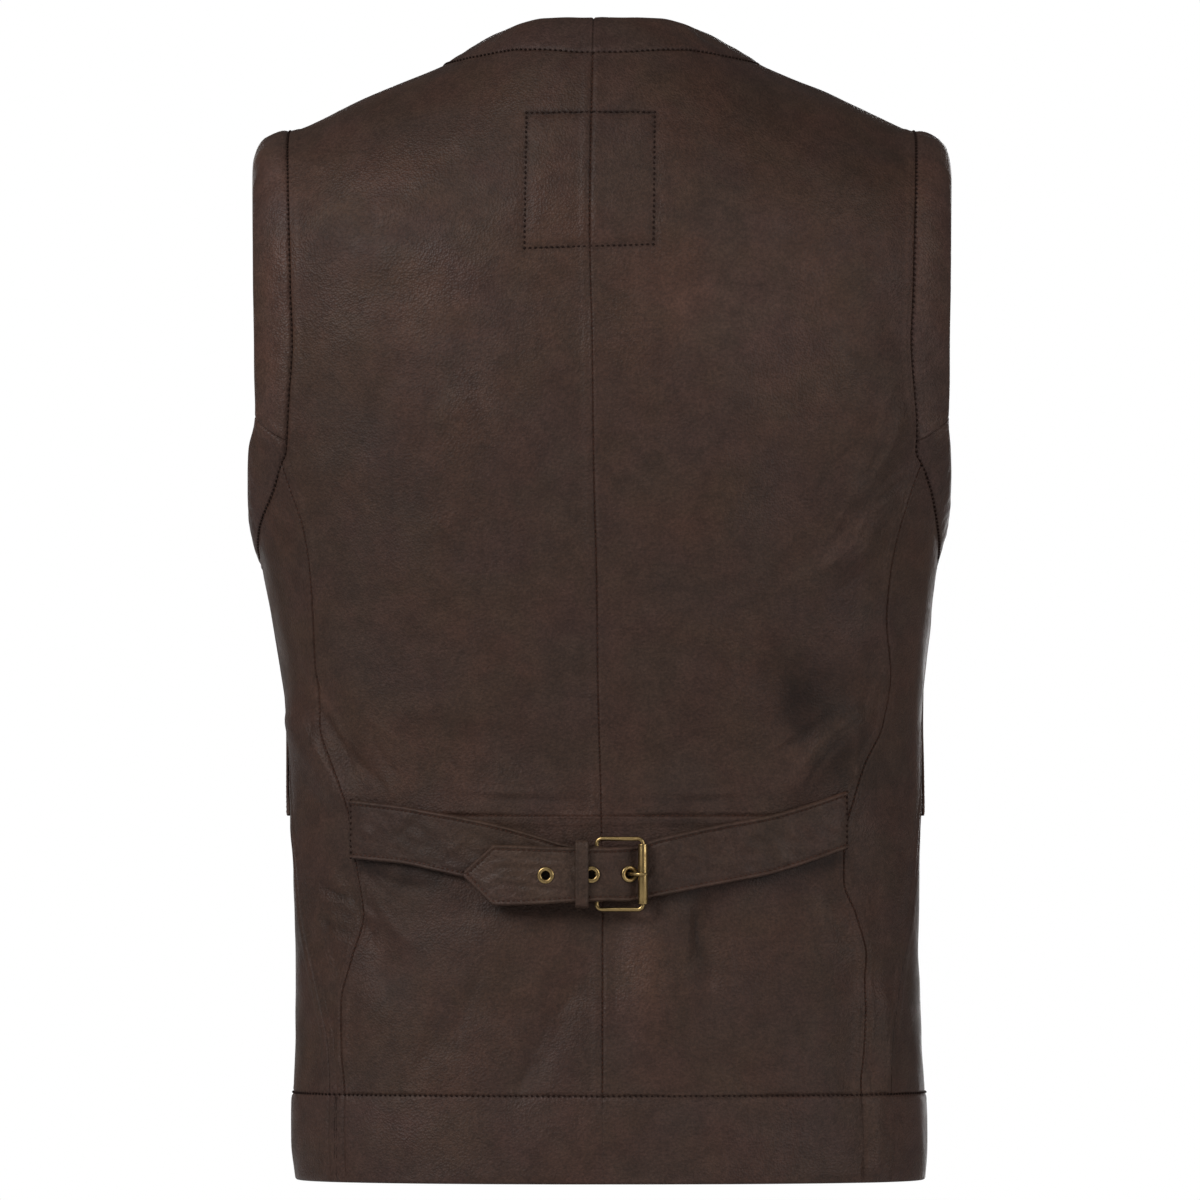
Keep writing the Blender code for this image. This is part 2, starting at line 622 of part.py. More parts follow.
def body_panels(look):
    """Back, sides and fronts, left and right."""
    for side, word in ((1, "left"), (-1, "right")):
        princess_low = princess_path(side, HEM_SEAM, WAIST_SEAM, WAIST_ROWS)
        princess_high = princess_path(side, WAIST_SEAM, ARMHOLE[PRINCESS_TOP][0][2], WAIST_ROWS)
        armhole_back = armhole_path(side, 0, PRINCESS_TOP, 0)[::-1]
        princess_high[-1] = armhole_back[0]
        neck = neck_back_path(side, 0)
        shoulder = shoulder_seam_path(side)
        top = np.vstack([neck, shoulder[1:]])
        top[-1] = armhole_back[-1]
        columns = len(top)

        def level(low_turn, high_turn, rise):
            turns = np.linspace(low_turn, high_turn, columns)
            return np.stack([turns, np.full(columns, rise)], -1)

        def centre_back(low, high, rows):
            rises = np.linspace(low, high, rows + 1)
            return np.stack([centre_back_turn(side, rises), rises], -1)

        waist = level(centre_back_turn(side, WAIST_SEAM), princess_low[-1, 0], WAIST_SEAM)
        hem = level(centre_back_turn(side, HEM_SEAM), princess_low[0, 0], HEM_SEAM)
        edge = np.vstack([princess_high, armhole_back[1:]])
        spine = centre_back(WAIST_SEAM, neck[0, 1], len(edge) - 1)
        panel(f"back_upper_{word}", side, patch(waist, top, spine, edge), look)
        spine = centre_back(HEM_SEAM, WAIST_SEAM, WAIST_ROWS)
        panel(f"back_lower_{word}", side, patch(hem, waist, spine, princess_low), look)

        under_arm = armhole_path(side, PRINCESS_TOP, SIDE_SEAM_TOP, 0)
        princess = np.vstack([princess_low, princess_high[1:]])
        side_seam = side_seam_path(HEM_SEAM, ARMHOLE[SIDE_SEAM_TOP][0][2], 2 * WAIST_ROWS)
        side_seam[-1] = under_arm[-1]
        turns = np.linspace(princess[0, 0], side_seam[0, 0], len(under_arm))
        side_hem = np.stack([turns, np.full(len(turns), HEM_SEAM)], -1)
        panel(f"side_panel_{word}", side, patch(side_hem, under_arm, princess, side_seam), look)

        lap = LAP if side > 0 else 0.0
        armhole_front = armhole_path(side, SIDE_SEAM_TOP, len(ARMHOLE) - 1, 0)
        outer_edge = np.vstack([side_seam, armhole_front[1:]])
        inner_edge = np.vstack([front_edge_path(side, HEM_SEAM, 2 * WAIST_ROWS, 0), v_neck_path(side, 0)[1:]])
        front_top = to_front(shoulder)[::-1]
        front_top[0], front_top[-1] = outer_edge[-1], inner_edge[-1]
        turns = np.linspace(side_seam[0, 0], inner_edge[0, 0], len(front_top))
        front_hem = np.stack([turns, np.full(len(turns), HEM_SEAM)], -1)
        panel(f"front_{word}", side, patch(front_hem, front_top, outer_edge, inner_edge), look, lap=lap)

        stretches = (("back", hem[:, 0], 0.0), ("side", side_hem[:, 0], 0.0), ("front", turns, lap))
        for stretch, hem_turns, raised in stretches:
            rises = np.linspace(HEM_EDGE, HEM_SEAM, HEM_ROWS + 1)
            grid = np.stack(np.meshgrid(hem_turns, rises), -1)
            outer = np.array((0.4, 1.0, 0.0))[:, None]
            panel(f"hem_band_{stretch}_{word}", side, grid, look, outer, BAND_WALL, raised)


def armhole_bands(look):
    """Padded bands round the armholes, rolled over at the free edge."""
    shares = (0.0, 0.14, 0.5, 0.84, 1.0)
    outer = np.array((0.0, 1.5, 2.2, 1.2, -0.8))[None]
    inner = np.array((WALL, 2.8, 2.8, 2.6, 2.0))[None]
    for side, word in ((1, "left"), (-1, "right")):
        for stretch, first, last in (("back", 0, BAND_JOINT), ("front", BAND_JOINT, len(ARMHOLE) - 1)):
            seam = armhole_path(side, first, last, 0)
            edge = armhole_path(side, first, last, 1)
            panel(f"armhole_band_{stretch}_{word}", side, across_band(seam, edge, shares), look, outer, inner)


def neck_bands(look):
    """Band round the back neck, and on down the V and the centre front."""
    shares = (0.0, 0.2, 0.75, 1.0)
    outer = np.array((0.0, 1.0, 0.9, -0.5))[None]
    inner = np.array((WALL, 2.8, 2.8, 2.2))[None]
    for side, word in ((1, "left"), (-1, "right")):
        seam, edge = neck_back_path(side, 0), neck_back_path(side, 1)
        panel(f"neck_band_{word}", side, across_band(seam, edge, shares), look, outer, inner)
        foot = np.linspace(HEM_EDGE, HEM_SEAM, HEM_ROWS + 1)[:-1]
        paths = []
        for which in (0, 1):
            straight = front_edge_path(side, HEM_SEAM, 2 * WAIST_ROWS, which)
            hem_part = np.stack([np.full(len(foot), straight[0, 0]), foot], -1)
            paths.append(np.vstack([hem_part, straight, v_neck_path(side, which)[1:]]))
        lap = LAP if side > 0 else 0.0
        panel(f"front_band_{word}", side, across_band(*paths, shares), look, outer, inner, lap)


def welts(look):
    """Slanted pocket welts on the fronts, just in front of the side seams."""
    (high_turn, high), (low_turn, low) = WELT_ENDS
    rises = np.linspace(low, high, WELT_ROWS + 1)
    middles = np.radians(np.linspace(low_turn, high_turn, WELT_ROWS + 1))
    reach = WELT_WIDTH / 2 / ring(low)[3]
    turns = middles[:, None] + np.linspace(-reach, reach, 3)[None]
    grid = np.stack([turns, np.broadcast_to(rises[:, None], turns.shape)], -1)
    for side, word in ((1, "left"), (-1, "right")):
        panel(f"pocket_welt_{word}", side, grid, look, WELT_LIFT + WELT_THICK, -WELT_LIFT)


def half_belt(look):
    """Two straps sewn in the princess seams, and the keeper round them beside the buckle."""
    places, halves = zip(*[belt_place(BELT_LEFT, x) for x in BELT_LEFT[:, 0]])
    places = list(places)
    halves = list(halves)
    heel = buckle_point(HEEL_PLACE)
    turn_radius = WIRE + LIE_GAP + STRAP_THICK / 2
    for angle in np.radians(np.arange(90, 271, 22.5)):
        places.append(heel + turn_radius * np.array((math.cos(angle), math.sin(angle), 0.0)))
        halves.append(halves[len(BELT_LEFT) - 1])
    for across in TURNED_BACK:
        places.append(heel + np.array((across, -turn_radius + across * TURNED_BACK_SLOPE, 0.0)))
        halves.append(halves[len(BELT_LEFT) - 1])
    left = ribbon("belt_left", places, halves, STRAP_THICK, look)
    slot = box_object("slot_cutter", heel + np.array((SLOT_PLACE, 0.0, 0.0)), SLOT_HALVES, look)
    cut(left, slot)

    places, halves = zip(*[belt_place(BELT_RIGHT, x) for x in BELT_RIGHT[:, 0]])
    right = ribbon("belt_right", places, halves, STRAP_THICK, look)
    for number, x in enumerate(EYELET_PLACES):
        centre, axis = strap_axis(x)
        reach = 2 * STRAP_THICK
        profile = ((0, -reach), (STRAP_HOLE, -reach), (STRAP_HOLE, reach), (0, reach))
        cut(right, lathe(f"hole_cutter_{number}", profile, centre, axis, look))

    low, high = KEEPER_PLACE
    middle = (low + high) / 2
    face = back_face(middle, BUCKLE_HEIGHT, KEEPER_HALF_HEIGHT)
    inner_low = heel[1] - turn_radius - STRAP_THICK / 2 - LIE_GAP
    inner_high = belt_place(BELT_RIGHT, middle)[0][1] + STRAP_THICK / 2 + 2 * LIE_GAP + EYELET_PLATE
    keeper(look, low, high, max(inner_low, face + KEEPER_THICK + LIE_GAP), inner_high)


def box_object(name, centre, halves, look):
    """Plain box from its centre and half sizes."""
    corners = [centre + np.array((sx, sy, sz)) * halves for sx in (-1, 1) for sy in (-1, 1) for sz in (-1, 1)]
    faces = [(0, 1, 3, 2), (4, 6, 7, 5), (0, 4, 5, 1), (2, 3, 7, 6), (0, 2, 6, 4), (1, 5, 7, 3)]
    return make_object(name, corners, faces, look)


def strap_axis(x):
    """Middle of the right strap at x, and the direction square to its face."""
    centre, _ = belt_place(BELT_RIGHT, x)
    before, _ = belt_place(BELT_RIGHT, x + 1.5)
    after, _ = belt_place(BELT_RIGHT, x - 1.5)
    run = before - after
    return centre, np.array((-run[1], run[0], 0.0))


def keeper(look, low, high, inner_low, inner_high):
    """Upright loop of leather with rounded corners."""
    outline = []
    middle_y, half_y = (inner_low + inner_high) / 2, (inner_high - inner_low) / 2
    half_z = KEEPER_HALF_HEIGHT - KEEPER_THICK
    corner = KEEPER_CORNER
    for corner_y, corner_z, start in ((1, 1, 0), (-1, 1, 90), (-1, -1, 180), (1, -1, 270)):
        for angle in np.radians((start, start + 45, start + 90)):
            outline.append((corner_y * (half_y - corner), corner_z * (half_z - corner), math.cos(angle),
                            math.sin(angle)))
    vertices = []
    outer = corner + KEEPER_THICK
    for x, radius in ((low, corner), (high, corner), (high, outer), (low, outer)):
        for y, z, cos, sin in outline:
            vertices.append((x, middle_y + y + radius * cos, BUCKLE_HEIGHT + z + radius * sin))
    count = len(outline)
    faces = []
    for ring_index in range(4):
        following = (ring_index + 1) % 4
        for k in range(count):
            n = (k + 1) % count
            faces.append((ring_index * count + k, ring_index * count + n, following * count + n,
                          following * count + k))
    make_object("belt_keeper", vertices, faces, look)


def buckle(look):
    """Wire frame, roller, prong and the eyelets of the strap."""
    heel = buckle_point(HEEL_PLACE)
    bar = buckle_point(ROLLER_PLACE)
    along = bar - heel
    length = np.linalg.norm(along)
    along = along / length
    up = np.array((0.0, 0.0, 1.0))
    path = []
    for at_bar, upper, start in ((1, 1, 0), (0, 1, 90), (0, -1, 180), (1, -1, 270)):
        centre = heel + along * (length - FRAME_CORNER if at_bar else FRAME_CORNER)
        centre = centre + up * upper * (FRAME_HALF_HEIGHT - FRAME_CORNER)
        for angle in np.radians(start + np.array(CORNER_ANGLES)):
            path.append(centre + FRAME_CORNER * (along * math.cos(angle) + up * math.sin(angle)))
    tube("buckle_frame", path, WIRE, look, closed=True)
    bore = WIRE + LIE_GAP
    profile = ((bore, -ROLLER_HALF), (ROLLER_RADIUS, -ROLLER_HALF), (ROLLER_RADIUS, ROLLER_HALF),
               (bore, ROLLER_HALF))
    lathe_upright("buckle_roller", profile, bar, look)
    wrap = WIRE + LIE_GAP + PRONG_WIRE
    path = [heel + wrap * np.array((math.cos(angle), math.sin(angle), 0.0)) for angle in np.radians(PRONG_WRAP)]
    path += [buckle_point(place) for place in PRONG_PATH]
    tube("buckle_prong", path, PRONG_WIRE, look)
    plate = STRAP_THICK / 2 + LIE_GAP
    profile = ((EYELET_HOLE, -plate - EYELET_PLATE), (EYELET_FLANGE, -plate - EYELET_PLATE),
               (EYELET_FLANGE, -plate),
               (EYELET_BARREL, -plate), (EYELET_BARREL, plate), (EYELET_FLANGE, plate),
               (EYELET_FLANGE - 0.5, plate + EYELET_PLATE), (EYELET_HOLE + 0.3, plate + EYELET_PLATE),
               (EYELET_HOLE, plate + EYELET_PLATE / 2))
    for number, x in enumerate(EYELET_PLACES):
        centre, axis = strap_axis(x)
        lathe(f"eyelet_{number + 1}", profile, centre, axis, look)


def lathe_upright(name, profile, centre, look, segments=14):
    """Turned tube that stands upright."""
    vertices, faces = [], []
    for radius, height in profile:
        for k in range(segments):
            angle = 2 * math.pi * k / segments
            vertices.append(centre + np.array((radius * math.cos(angle), radius * math.sin(angle), height)))
    for ring_index in range(len(profile)):
        following = (ring_index + 1) % len(profile)
        for k in range(segments):
            n = (k + 1) % segments
            faces.append((ring_index * segments + k, ring_index * segments + n, following * segments + n,
                          following * segments + k))
    return make_object(name, vertices, faces, look)


def press_studs(look):
    """Domed stud caps down the lapped front band."""
    for number, height in enumerate(STUD_HEIGHTS):
        turn = turn_at_x(1, np.array([0.0]), np.array([height]), front=True)
        points, normals = skin(1, turn, np.array([float(height)]), LAP)
        base = points[0] + normals[0] * STUD_LIFT
        lathe(f"press_stud_{number + 1}", STUD_PROFILE, base, normals[0], look, segments=12)


def build():
    for left_over in list(bpy.data.objects):
        bpy.data.objects.remove(left_over, do_unlink=True)
    leather = material("vest_leather", LEATHER, 0.6, 0.0)
    belt_leather = material("belt_leather", BELT_LEATHER, 0.55, 0.0)
    brass = material("antique_brass", BRASS, 0.38, 1.0)
    body_panels(leather)
    armhole_bands(leather)
    neck_bands(leather)
    welts(leather)
    half_belt(belt_leather)
    buckle(brass)
    press_studs(brass)


build()
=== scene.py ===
# %% [markdown]
# # A leather vest with a half-belt, seen from behind
# The vest is a cut and sewn garment: eight panels of soft leather about 2.6 mm thick, a doubled band round the
# hem, padded bands round the armholes, the neck and the front edges, and a belt across the small of the back
# with a roller buckle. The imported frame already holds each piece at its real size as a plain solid. This lesson
# dresses that frame. It repeats the pattern's own tables, so each fine shell lies where its plain solid lies.

# %% Load the frame
import math

import bpy
import numpy as np
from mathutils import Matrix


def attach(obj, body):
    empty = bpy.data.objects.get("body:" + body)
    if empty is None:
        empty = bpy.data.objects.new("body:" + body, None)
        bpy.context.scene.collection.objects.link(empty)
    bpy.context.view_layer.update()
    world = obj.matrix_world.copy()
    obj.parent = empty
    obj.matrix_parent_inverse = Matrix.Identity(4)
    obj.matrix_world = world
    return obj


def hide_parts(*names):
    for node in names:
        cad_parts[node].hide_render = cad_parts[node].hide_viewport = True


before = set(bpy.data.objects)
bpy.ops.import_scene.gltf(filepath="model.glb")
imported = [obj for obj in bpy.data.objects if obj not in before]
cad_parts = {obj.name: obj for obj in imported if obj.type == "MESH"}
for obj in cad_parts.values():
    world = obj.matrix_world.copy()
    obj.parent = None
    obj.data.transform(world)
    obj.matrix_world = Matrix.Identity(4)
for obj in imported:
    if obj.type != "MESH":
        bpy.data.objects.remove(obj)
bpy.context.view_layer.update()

MM = 0.001
print("nodes in the frame:", len(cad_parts))

# %% [markdown]
# ## The form under the leather
# A worn vest is one smooth barrel that closes over the shoulders. It could be sculpted, but a pattern maker
# thinks in measurements, so it is a stack of level rings, each with its half width and its depths behind and
# in front. Above the chest line the ring tips over towards the shoulder line. A place on the form is a turn,
# from the centre back round to the centre front, and a rise, which is its height below the chest line and goes
# on over the shoulder above it. All sizes are in millimetres until a mesh is made.

# %% Rings of the body and the shoulder line
WALL = 2.6
BAND_WALL = 3.0
SQUARENESS = 2.3
DEPTH_CENTRE = 8.0
CHEST_LINE = -110.0
RIDGE = 60.0
SHOULDER_SEAM = 14.0
HEM_SEAM = -571.0
HEM_EDGE = -621.5
WAIST_SEAM = -411.0

# height, centre (towards the wearer's left), half width, depth behind, depth in front
RINGS = np.array([
    (-110, 1.1, 214.0, 108, 116),
    (-160, 1.1, 213.0, 112, 127),
    (-212, 1.4, 206.5, 113, 135),
    (-235, 1.7, 201.0, 112, 137),
    (-253, 1.9, 197.0, 111, 138),
    (-278, 0.9, 192.7, 109, 138),
    (-308, -0.3, 188.2, 106, 137),
    (-336, -1.0, 184.4, 103.5, 135),
    (-369, -1.8, 181.7, 101, 132),
    (-405, -2.0, 181.2, 99, 129),
    (-459, -2.8, 180.4, 99, 129),
    (-487, -2.9, 179.4, 100, 130),
    (-540, -4.0, 180.2, 103, 132),
    (-579, -4.3, 182.0, 105, 133),
    (-598, -4.5, 182.4, 106, 133),
    (-625, -4.9, 180.8, 106, 133)])

# distance from the middle, height
SHOULDER_LINE = np.array([
    (0, 62), (17, 61), (33, 57.5), (46, 50.5), (60, 39.5), (76, 29), (91, 20.5), (133, 2.5), (160, -10),
    (176, -17), (185, -19.5), (192, -23), (198, -30), (201.5, -41), (208, -62), (216, -80)])


def flow(knots, values, at):
    """Smooth monotone curve through a table's column, read at any place."""
    order = np.argsort(knots)
    knots = np.asarray(knots, float)[order]
    values = np.asarray(values, float)[order]
    at = np.clip(np.asarray(at, float), knots[0], knots[-1])
    width = np.diff(knots)
    slope = np.diff(values) / width
    tangent = np.zeros(len(knots))
    same = slope[:-1] * slope[1:] > 0
    total = np.where(same, slope[:-1] + slope[1:], 1.0)
    tangent[1:-1] = np.where(same, 2 * slope[:-1] * slope[1:] / total, 0.0)
    tangent[0], tangent[-1] = slope[0], slope[-1]
    k = np.clip(np.searchsorted(knots, at, side="right") - 1, 0, len(width) - 1)
    u = (at - knots[k]) / width[k]
    return ((2 * u**3 - 3 * u**2 + 1) * values[k] + (u**3 - 2 * u**2 + u) * width[k] * tangent[k]
            + (3 * u**2 - 2 * u**3) * values[k + 1] + (u**3 - u**2) * width[k] * tangent[k + 1])


def soft_step(low, high, at):
    u = np.clip((np.asarray(at, float) - low) / (high - low), 0, 1)
    return u * u * (3 - 2 * u)


def signed_power(value, power):
    return np.sign(value) * np.abs(value)**power


def ring(height):
    """Centre, half width, back depth and front depth of the level ring at a height."""
    return [flow(RINGS[:, 0], RINGS[:, column], height) for column in range(1, 5)]


def ridge_height(across):
    return flow(SHOULDER_LINE[:, 0], SHOULDER_LINE[:, 1], np.abs(across))


def form(side, turn, rise):
    """Points of the smooth form; side is 1 on the wearer's left and -1 on the right."""
    turn, rise = np.broadcast_arrays(np.asarray(turn, float), np.asarray(rise, float))
    over = rise > RIDGE
    turn = np.where(over, math.pi - turn, turn)
    rise = np.where(over, 2 * RIDGE - rise, rise)
    height = np.minimum(rise, CHEST_LINE)
    centre, half, back, front = ring(height)
    x = centre + side * half * signed_power(np.sin(turn), 2 / SQUARENESS)
    c = signed_power(np.cos(turn), 2 / SQUARENESS)
    y = DEPTH_CENTRE + np.where(c > 0, back, front) * c
    lift = np.clip((rise - CHEST_LINE) / (RIDGE - CHEST_LINE), 0, 1) * math.pi / 2
    z = height + (ridge_height(x) - CHEST_LINE) * np.sin(lift)
    return np.stack([x, y * np.cos(lift), z], -1)


def outward(side, turn, rise):
    """Unit normals of the smooth form."""
    step = 0.004
    along_turn = form(side, turn + step, rise) - form(side, turn - step, rise)
    along_rise = form(side, turn, rise + 0.5) - form(side, turn, rise - 0.5)
    normal = -side * np.cross(along_turn, along_rise)
    return normal / np.linalg.norm(normal, axis=-1, keepdims=True)


chest = form(1, math.pi / 2, CHEST_LINE)[0] - form(-1, math.pi / 2, CHEST_LINE)[0]
print(f"width at the chest line: {chest:.0f} mm")

# %% [markdown]
# ## The seams
# A panel is what lies between its seams, so the seams are drawn first, each as a short table a tailor could
# chalk on the form: the centre back, the two princess seams, the side seams, the armholes with the free edge
# of their bands, the neck and the V in front. A smooth curve through a few stations keeps every edge round, and
# two panels that meet at a seam read the same table, so they always fit each other.

# %% Tables of the seams
# height, place across
CENTRE_BACK = np.array([
    (60, 4.0), (-8, 5.1), (-88, 6.9), (-128, 5.7), (-215, 4.6), (-280, 2.9), (-335, 2.3), (-362, 1.7),
    (-400, 0.6), (-465, -0.3), (-625, -0.3)])

# height, distance from the middle on the left, on the right
PRINCESS = np.array([
    (-210, 183.5, 183.5), (-229, 177, 176), (-245, 171.5, 171), (-271, 167.3, 165.5), (-300, 165.3, 163),
    (-330, 164, 165.5), (-360, 162, 160.5), (-382, 154.2, 150.5), (-401, 146.7, 144.5), (-425, 143, 138.5),
    (-449, 139.9, 138.5), (-468, 137.8, 145.5), (-493, 143.3, 151.5), (-519, 149, 151.5), (-545, 149, 150.5),
    (-571, 147.3, 148.5), (-625, 149, 150)])

# height, turn in degrees
SIDE_SEAM = np.array([
    (-270, 94.4), (-310, 94), (-345, 92.5), (-371, 90), (-405, 85.5), (-440, 80), (-473, 75.4), (-507, 67.8),
    (-545, 61.5), (-571, 60), (-625, 60.5)])

# Armhole stations from the shoulder seam down the back, under the arm and up the front: the seam and the
# free edge of the band, each as (kind, place, rise). Kind "x" is a distance from the middle and kind "y" a
# place front to back.
ARMHOLE = [
    (("x", 179.0, RIDGE + SHOULDER_SEAM), ("x", 201.3, RIDGE + SHOULDER_SEAM)),
    (("x", 180.5, RIDGE - 35), ("x", 201.3, RIDGE - 35)),
    (("x", 180.0, RIDGE - 95), ("x", 201.0, RIDGE - 95)),
    (("x", 178.3, CHEST_LINE), ("x", 200.6, CHEST_LINE)),
    (("x", 177.5, -150), ("x", 200.0, -148)),
    (("x", 180.3, -197), ("x", 199.4, -182)),
    (("x", 183.5, -210), ("y", 44, -200)),
    (("x", 189.5, -228), ("y", 34, -218)),
    (("y", 38, -245), ("y", 20, -231)),
    (("y", 14, -260), ("y", 3, -239)),
    (("y", -14, -270), ("y", -17, -243)),
    (("y", -44, -268), ("y", -37, -238)),
    (("y", -68, -248), ("y", -52, -220)),
    (("y", -82, -212), ("y", -60, -190)),
    (("y", -84, -165), ("y", -60, -150)),
    (("y", -79, CHEST_LINE), ("y", -54, CHEST_LINE)),
    (("x", 171.5, RIDGE - 95), ("x", 196.0, RIDGE - 95)),
    (("x", 177.5, RIDGE - 45), ("x", 201.0, RIDGE - 45)),
    (("x", 179.0, RIDGE - SHOULDER_SEAM), ("x", 201.3, RIDGE - SHOULDER_SEAM))]
FRONT_FROM = 15
BAND_JOINT = 5
PRINCESS_TOP = 6
SIDE_SEAM_TOP = 10
STATION_STEPS = 24
SEAM_ROWS = 14 * STATION_STEPS

# distance from the middle and place front to back, from the centre back to the shoulder seam
NECK_SEAM = [(0.0, 71.0), (21.0, 69.0), (41.0, 62.0), (59.0, 47.0), (75.0, 31.0), (87.0, 12.0), (92.0, None)]
NECK_EDGE = [(0.0, 47.0), (15.0, 46.0), (30.0, 42.0), (43.0, 34.5), (53.5, 24.0), (60.5, 8.0), (63.5, None)]

# height, distance of the seam and of the free edge from the middle; below nought it has crossed the centre
V_NECK = [
    (None, 92.0, 63.5), (-12, 84, 56), (-52, 73, 45), (-98, 60, 32), (-143, 47, 18.5), (-183, 35.5, 7.5),
    (-220, 26, -2.5), (-250, 18.5, -9.5), (-276, 14.5, -13.5)]
LAP = 5.4
LAP_FULL = 22.0
LAP_END = 62.0


def through(points, steps):
    """Rounded path through points, with so many steps from each one to the next."""
    points = np.asarray(points, float)
    before = np.vstack([2 * points[0] - points[1], points])
    after = np.vstack([points, 2 * points[-1] - points[-2]])
    tangent = (after[1:] - before[:-1]) / 2
    path = []
    for k in range(len(points) - 1):
        for step in range(steps):
            u = step / steps
            path.append((2 * u**3 - 3 * u**2 + 1) * points[k] + (u**3 - 2 * u**2 + u) * tangent[k]
                        + (3 * u**2 - 2 * u**3) * points[k + 1] + (u**3 - u**2) * tangent[k + 1])
    path.append(points[-1])
    return np.array(path)


def turn_at_x(side, x, height, front=False):
    """Turn of the point that lies at x on the back, or on the front, at a height."""
    centre, half, _, _ = ring(np.minimum(height, CHEST_LINE))
    share = np.clip(side * (x - centre) / half, -1, 1)
    angle = np.arcsin(signed_power(share, SQUARENESS / 2))
    return math.pi - angle if front else angle


def turn_at_y(y, height):
    """Turn of the point on the side that lies at y, front to back, at a height."""
    _, _, back, front = ring(np.minimum(height, CHEST_LINE))
    share = (y - DEPTH_CENTRE) / np.where(y > DEPTH_CENTRE, back, front)
    return np.arccos(signed_power(share, SQUARENESS / 2))


def rise_at(x, height):
    """Rise of the point at x and a height, also above the chest line."""
    share = (np.asarray(height, float) - CHEST_LINE) / (ridge_height(x) - CHEST_LINE)
    above = CHEST_LINE + np.arcsin(np.clip(share, 0, 1)) / (math.pi / 2) * (RIDGE - CHEST_LINE)
    return np.where(np.asarray(height) > CHEST_LINE, above, height)


def armhole_place(side, station, which):
    """Turn and rise of the armhole's seam (0) or free edge (1) at a station."""
    kind, place, rise = ARMHOLE[station][which]
    if kind == "y":
        return float(turn_at_y(place, rise)), rise
    return float(turn_at_x(side, side * place, rise, front=station >= FRONT_FROM)), rise


def armhole_path(side, first, last, which):
    """Seam (0) or free edge (1) between two stations, back to front."""
    path = through([armhole_place(side, station, which) for station in range(len(ARMHOLE))], STATION_STEPS)
    return path[first * STATION_STEPS:last * STATION_STEPS + 1]


def centre_back_turn(side, rise):
    """Turn of the centre-back seam; it lies a little off the middle."""
    return turn_at_x(side, flow(CENTRE_BACK[:, 0], CENTRE_BACK[:, 1], rise), rise)


def princess_path(side, low, high, rows):
    """Princess seam from one height up to another."""
    heights = np.linspace(low, high, rows + 1)
    across = flow(PRINCESS[:, 0], PRINCESS[:, 1 if side > 0 else 2], heights)
    return np.stack([turn_at_x(side, side * across, heights), heights], -1)


def side_seam_path(low, high, rows):
    heights = np.linspace(low, high, rows + 1)
    return np.stack([np.radians(flow(SIDE_SEAM[:, 0], SIDE_SEAM[:, 1], heights)), heights], -1)


def neck_back_path(side, which):
    """Neck seam (0) or free edge (1) of the back, from the centre back over to the shoulder seam."""
    path = []
    for across, depth in (NECK_SEAM, NECK_EDGE)[which]:
        turn = float(turn_at_x(side, side * across, RIDGE))
        if depth is None:
            path.append((turn, RIDGE + SHOULDER_SEAM))
            continue
        lift = math.acos(depth / form(side, turn, CHEST_LINE)[1])
        rise = CHEST_LINE + lift / (math.pi / 2) * (RIDGE - CHEST_LINE)
        path.append((float(centre_back_turn(side, rise)) if across == 0 else turn, rise))
    return through(path, STATION_STEPS)


def shoulder_seam_path(side, columns):
    """Shoulder seam from the neck point out to the armhole, just in front of the ridge."""
    across = np.linspace(NECK_SEAM[-1][0], ARMHOLE[0][0][1], columns + 1)
    turns = turn_at_x(side, side * across, np.full(len(across), RIDGE))
    return np.stack([turns, np.full(len(turns), RIDGE + SHOULDER_SEAM)], -1)


def to_front(path):
    """The same places over the shoulder, told from the front."""
    return np.stack([math.pi - path[:, 0], 2 * RIDGE - path[:, 1]], -1)


def v_neck_path(side, which):
    """Seam (0) or free edge (1) of the V neck, from its foot up to the shoulder seam."""
    stations = []
    for height, *pair in V_NECK:
        across = pair[which]
        rise = RIDGE - SHOULDER_SEAM if height is None else float(rise_at(abs(across), height))
        stations.append((float(turn_at_x(side, side * across, rise, front=True)), rise))
    return through(stations, STATION_STEPS)[::-1]


def front_edge_path(side, low, rows, which):
    """Seam (0) or free edge (1) of the front band, straight up the centre front."""
    heights = np.linspace(low, V_NECK[-1][0], rows + 1)
    across = np.full(len(heights), side * V_NECK[-1][1 + which])
    return np.stack([turn_at_x(side, across, heights, front=True), heights], -1)


print(f"armhole seam: {len(ARMHOLE)} stations on each side")

# %% [markdown]
# ## Folds and creases
# Leather keeps the shape that wearing gives it: a few broad folds where the waist is drawn in, and many
# shorter creases round them. They could be simulated, but a folded hide is stiff and its creases are few, so
# they are listed one by one. A fold is a straight line with a width and a height out of the smooth form or into
# it.
# A crease has a bow as well, and one flank is steeper than the other, as in real leather. No two are alike.
# A third table paints shade and highlight into the colour: darker where the back lies in shadow, lighter where it
# catches the light.

# %% Tables of the folds and creases
# two ends (across, height), half width, height out of the form; the plain solids have the same broad folds
FOLDS_BACK = np.array([
    (-170, -184, -150, -226, 9, 2.4),
    (-163, -232, -139, -262, 9, 3.0),
    (-153, -256, -122, -277, 9, 2.4),
    (-176, -206, -146, -246, 8, -1.8),
    (178, -358, 152, -398, 9, 3.4),
    (160, -340, 144, -382, 9, -2.6),
    (-147, -357, -112, -391, 9, 3.2),
    (-100, -330, -104, -368, 14, -3.0),
    (-56, -462, -60, -505, 8, -2.6),
    (-38, -462, -30, -520, 17, 2.4),
    (18, -514, 47, -566, 9, -2.0),
    (-160, -520, -158, -612, 8, 2.6),
    (-146, -505, -143, -560, 9, -2.2),
    (150, -450, 118, -500, 12, -2.4),
    (90, -380, -90, -380, 22, -2.4),
    (60, -480, 120, -520, 22, 2.2),
    (100, -200, 90, -330, 30, 2.0),
    (-70, -180, -60, -320, 34, 2.0)])
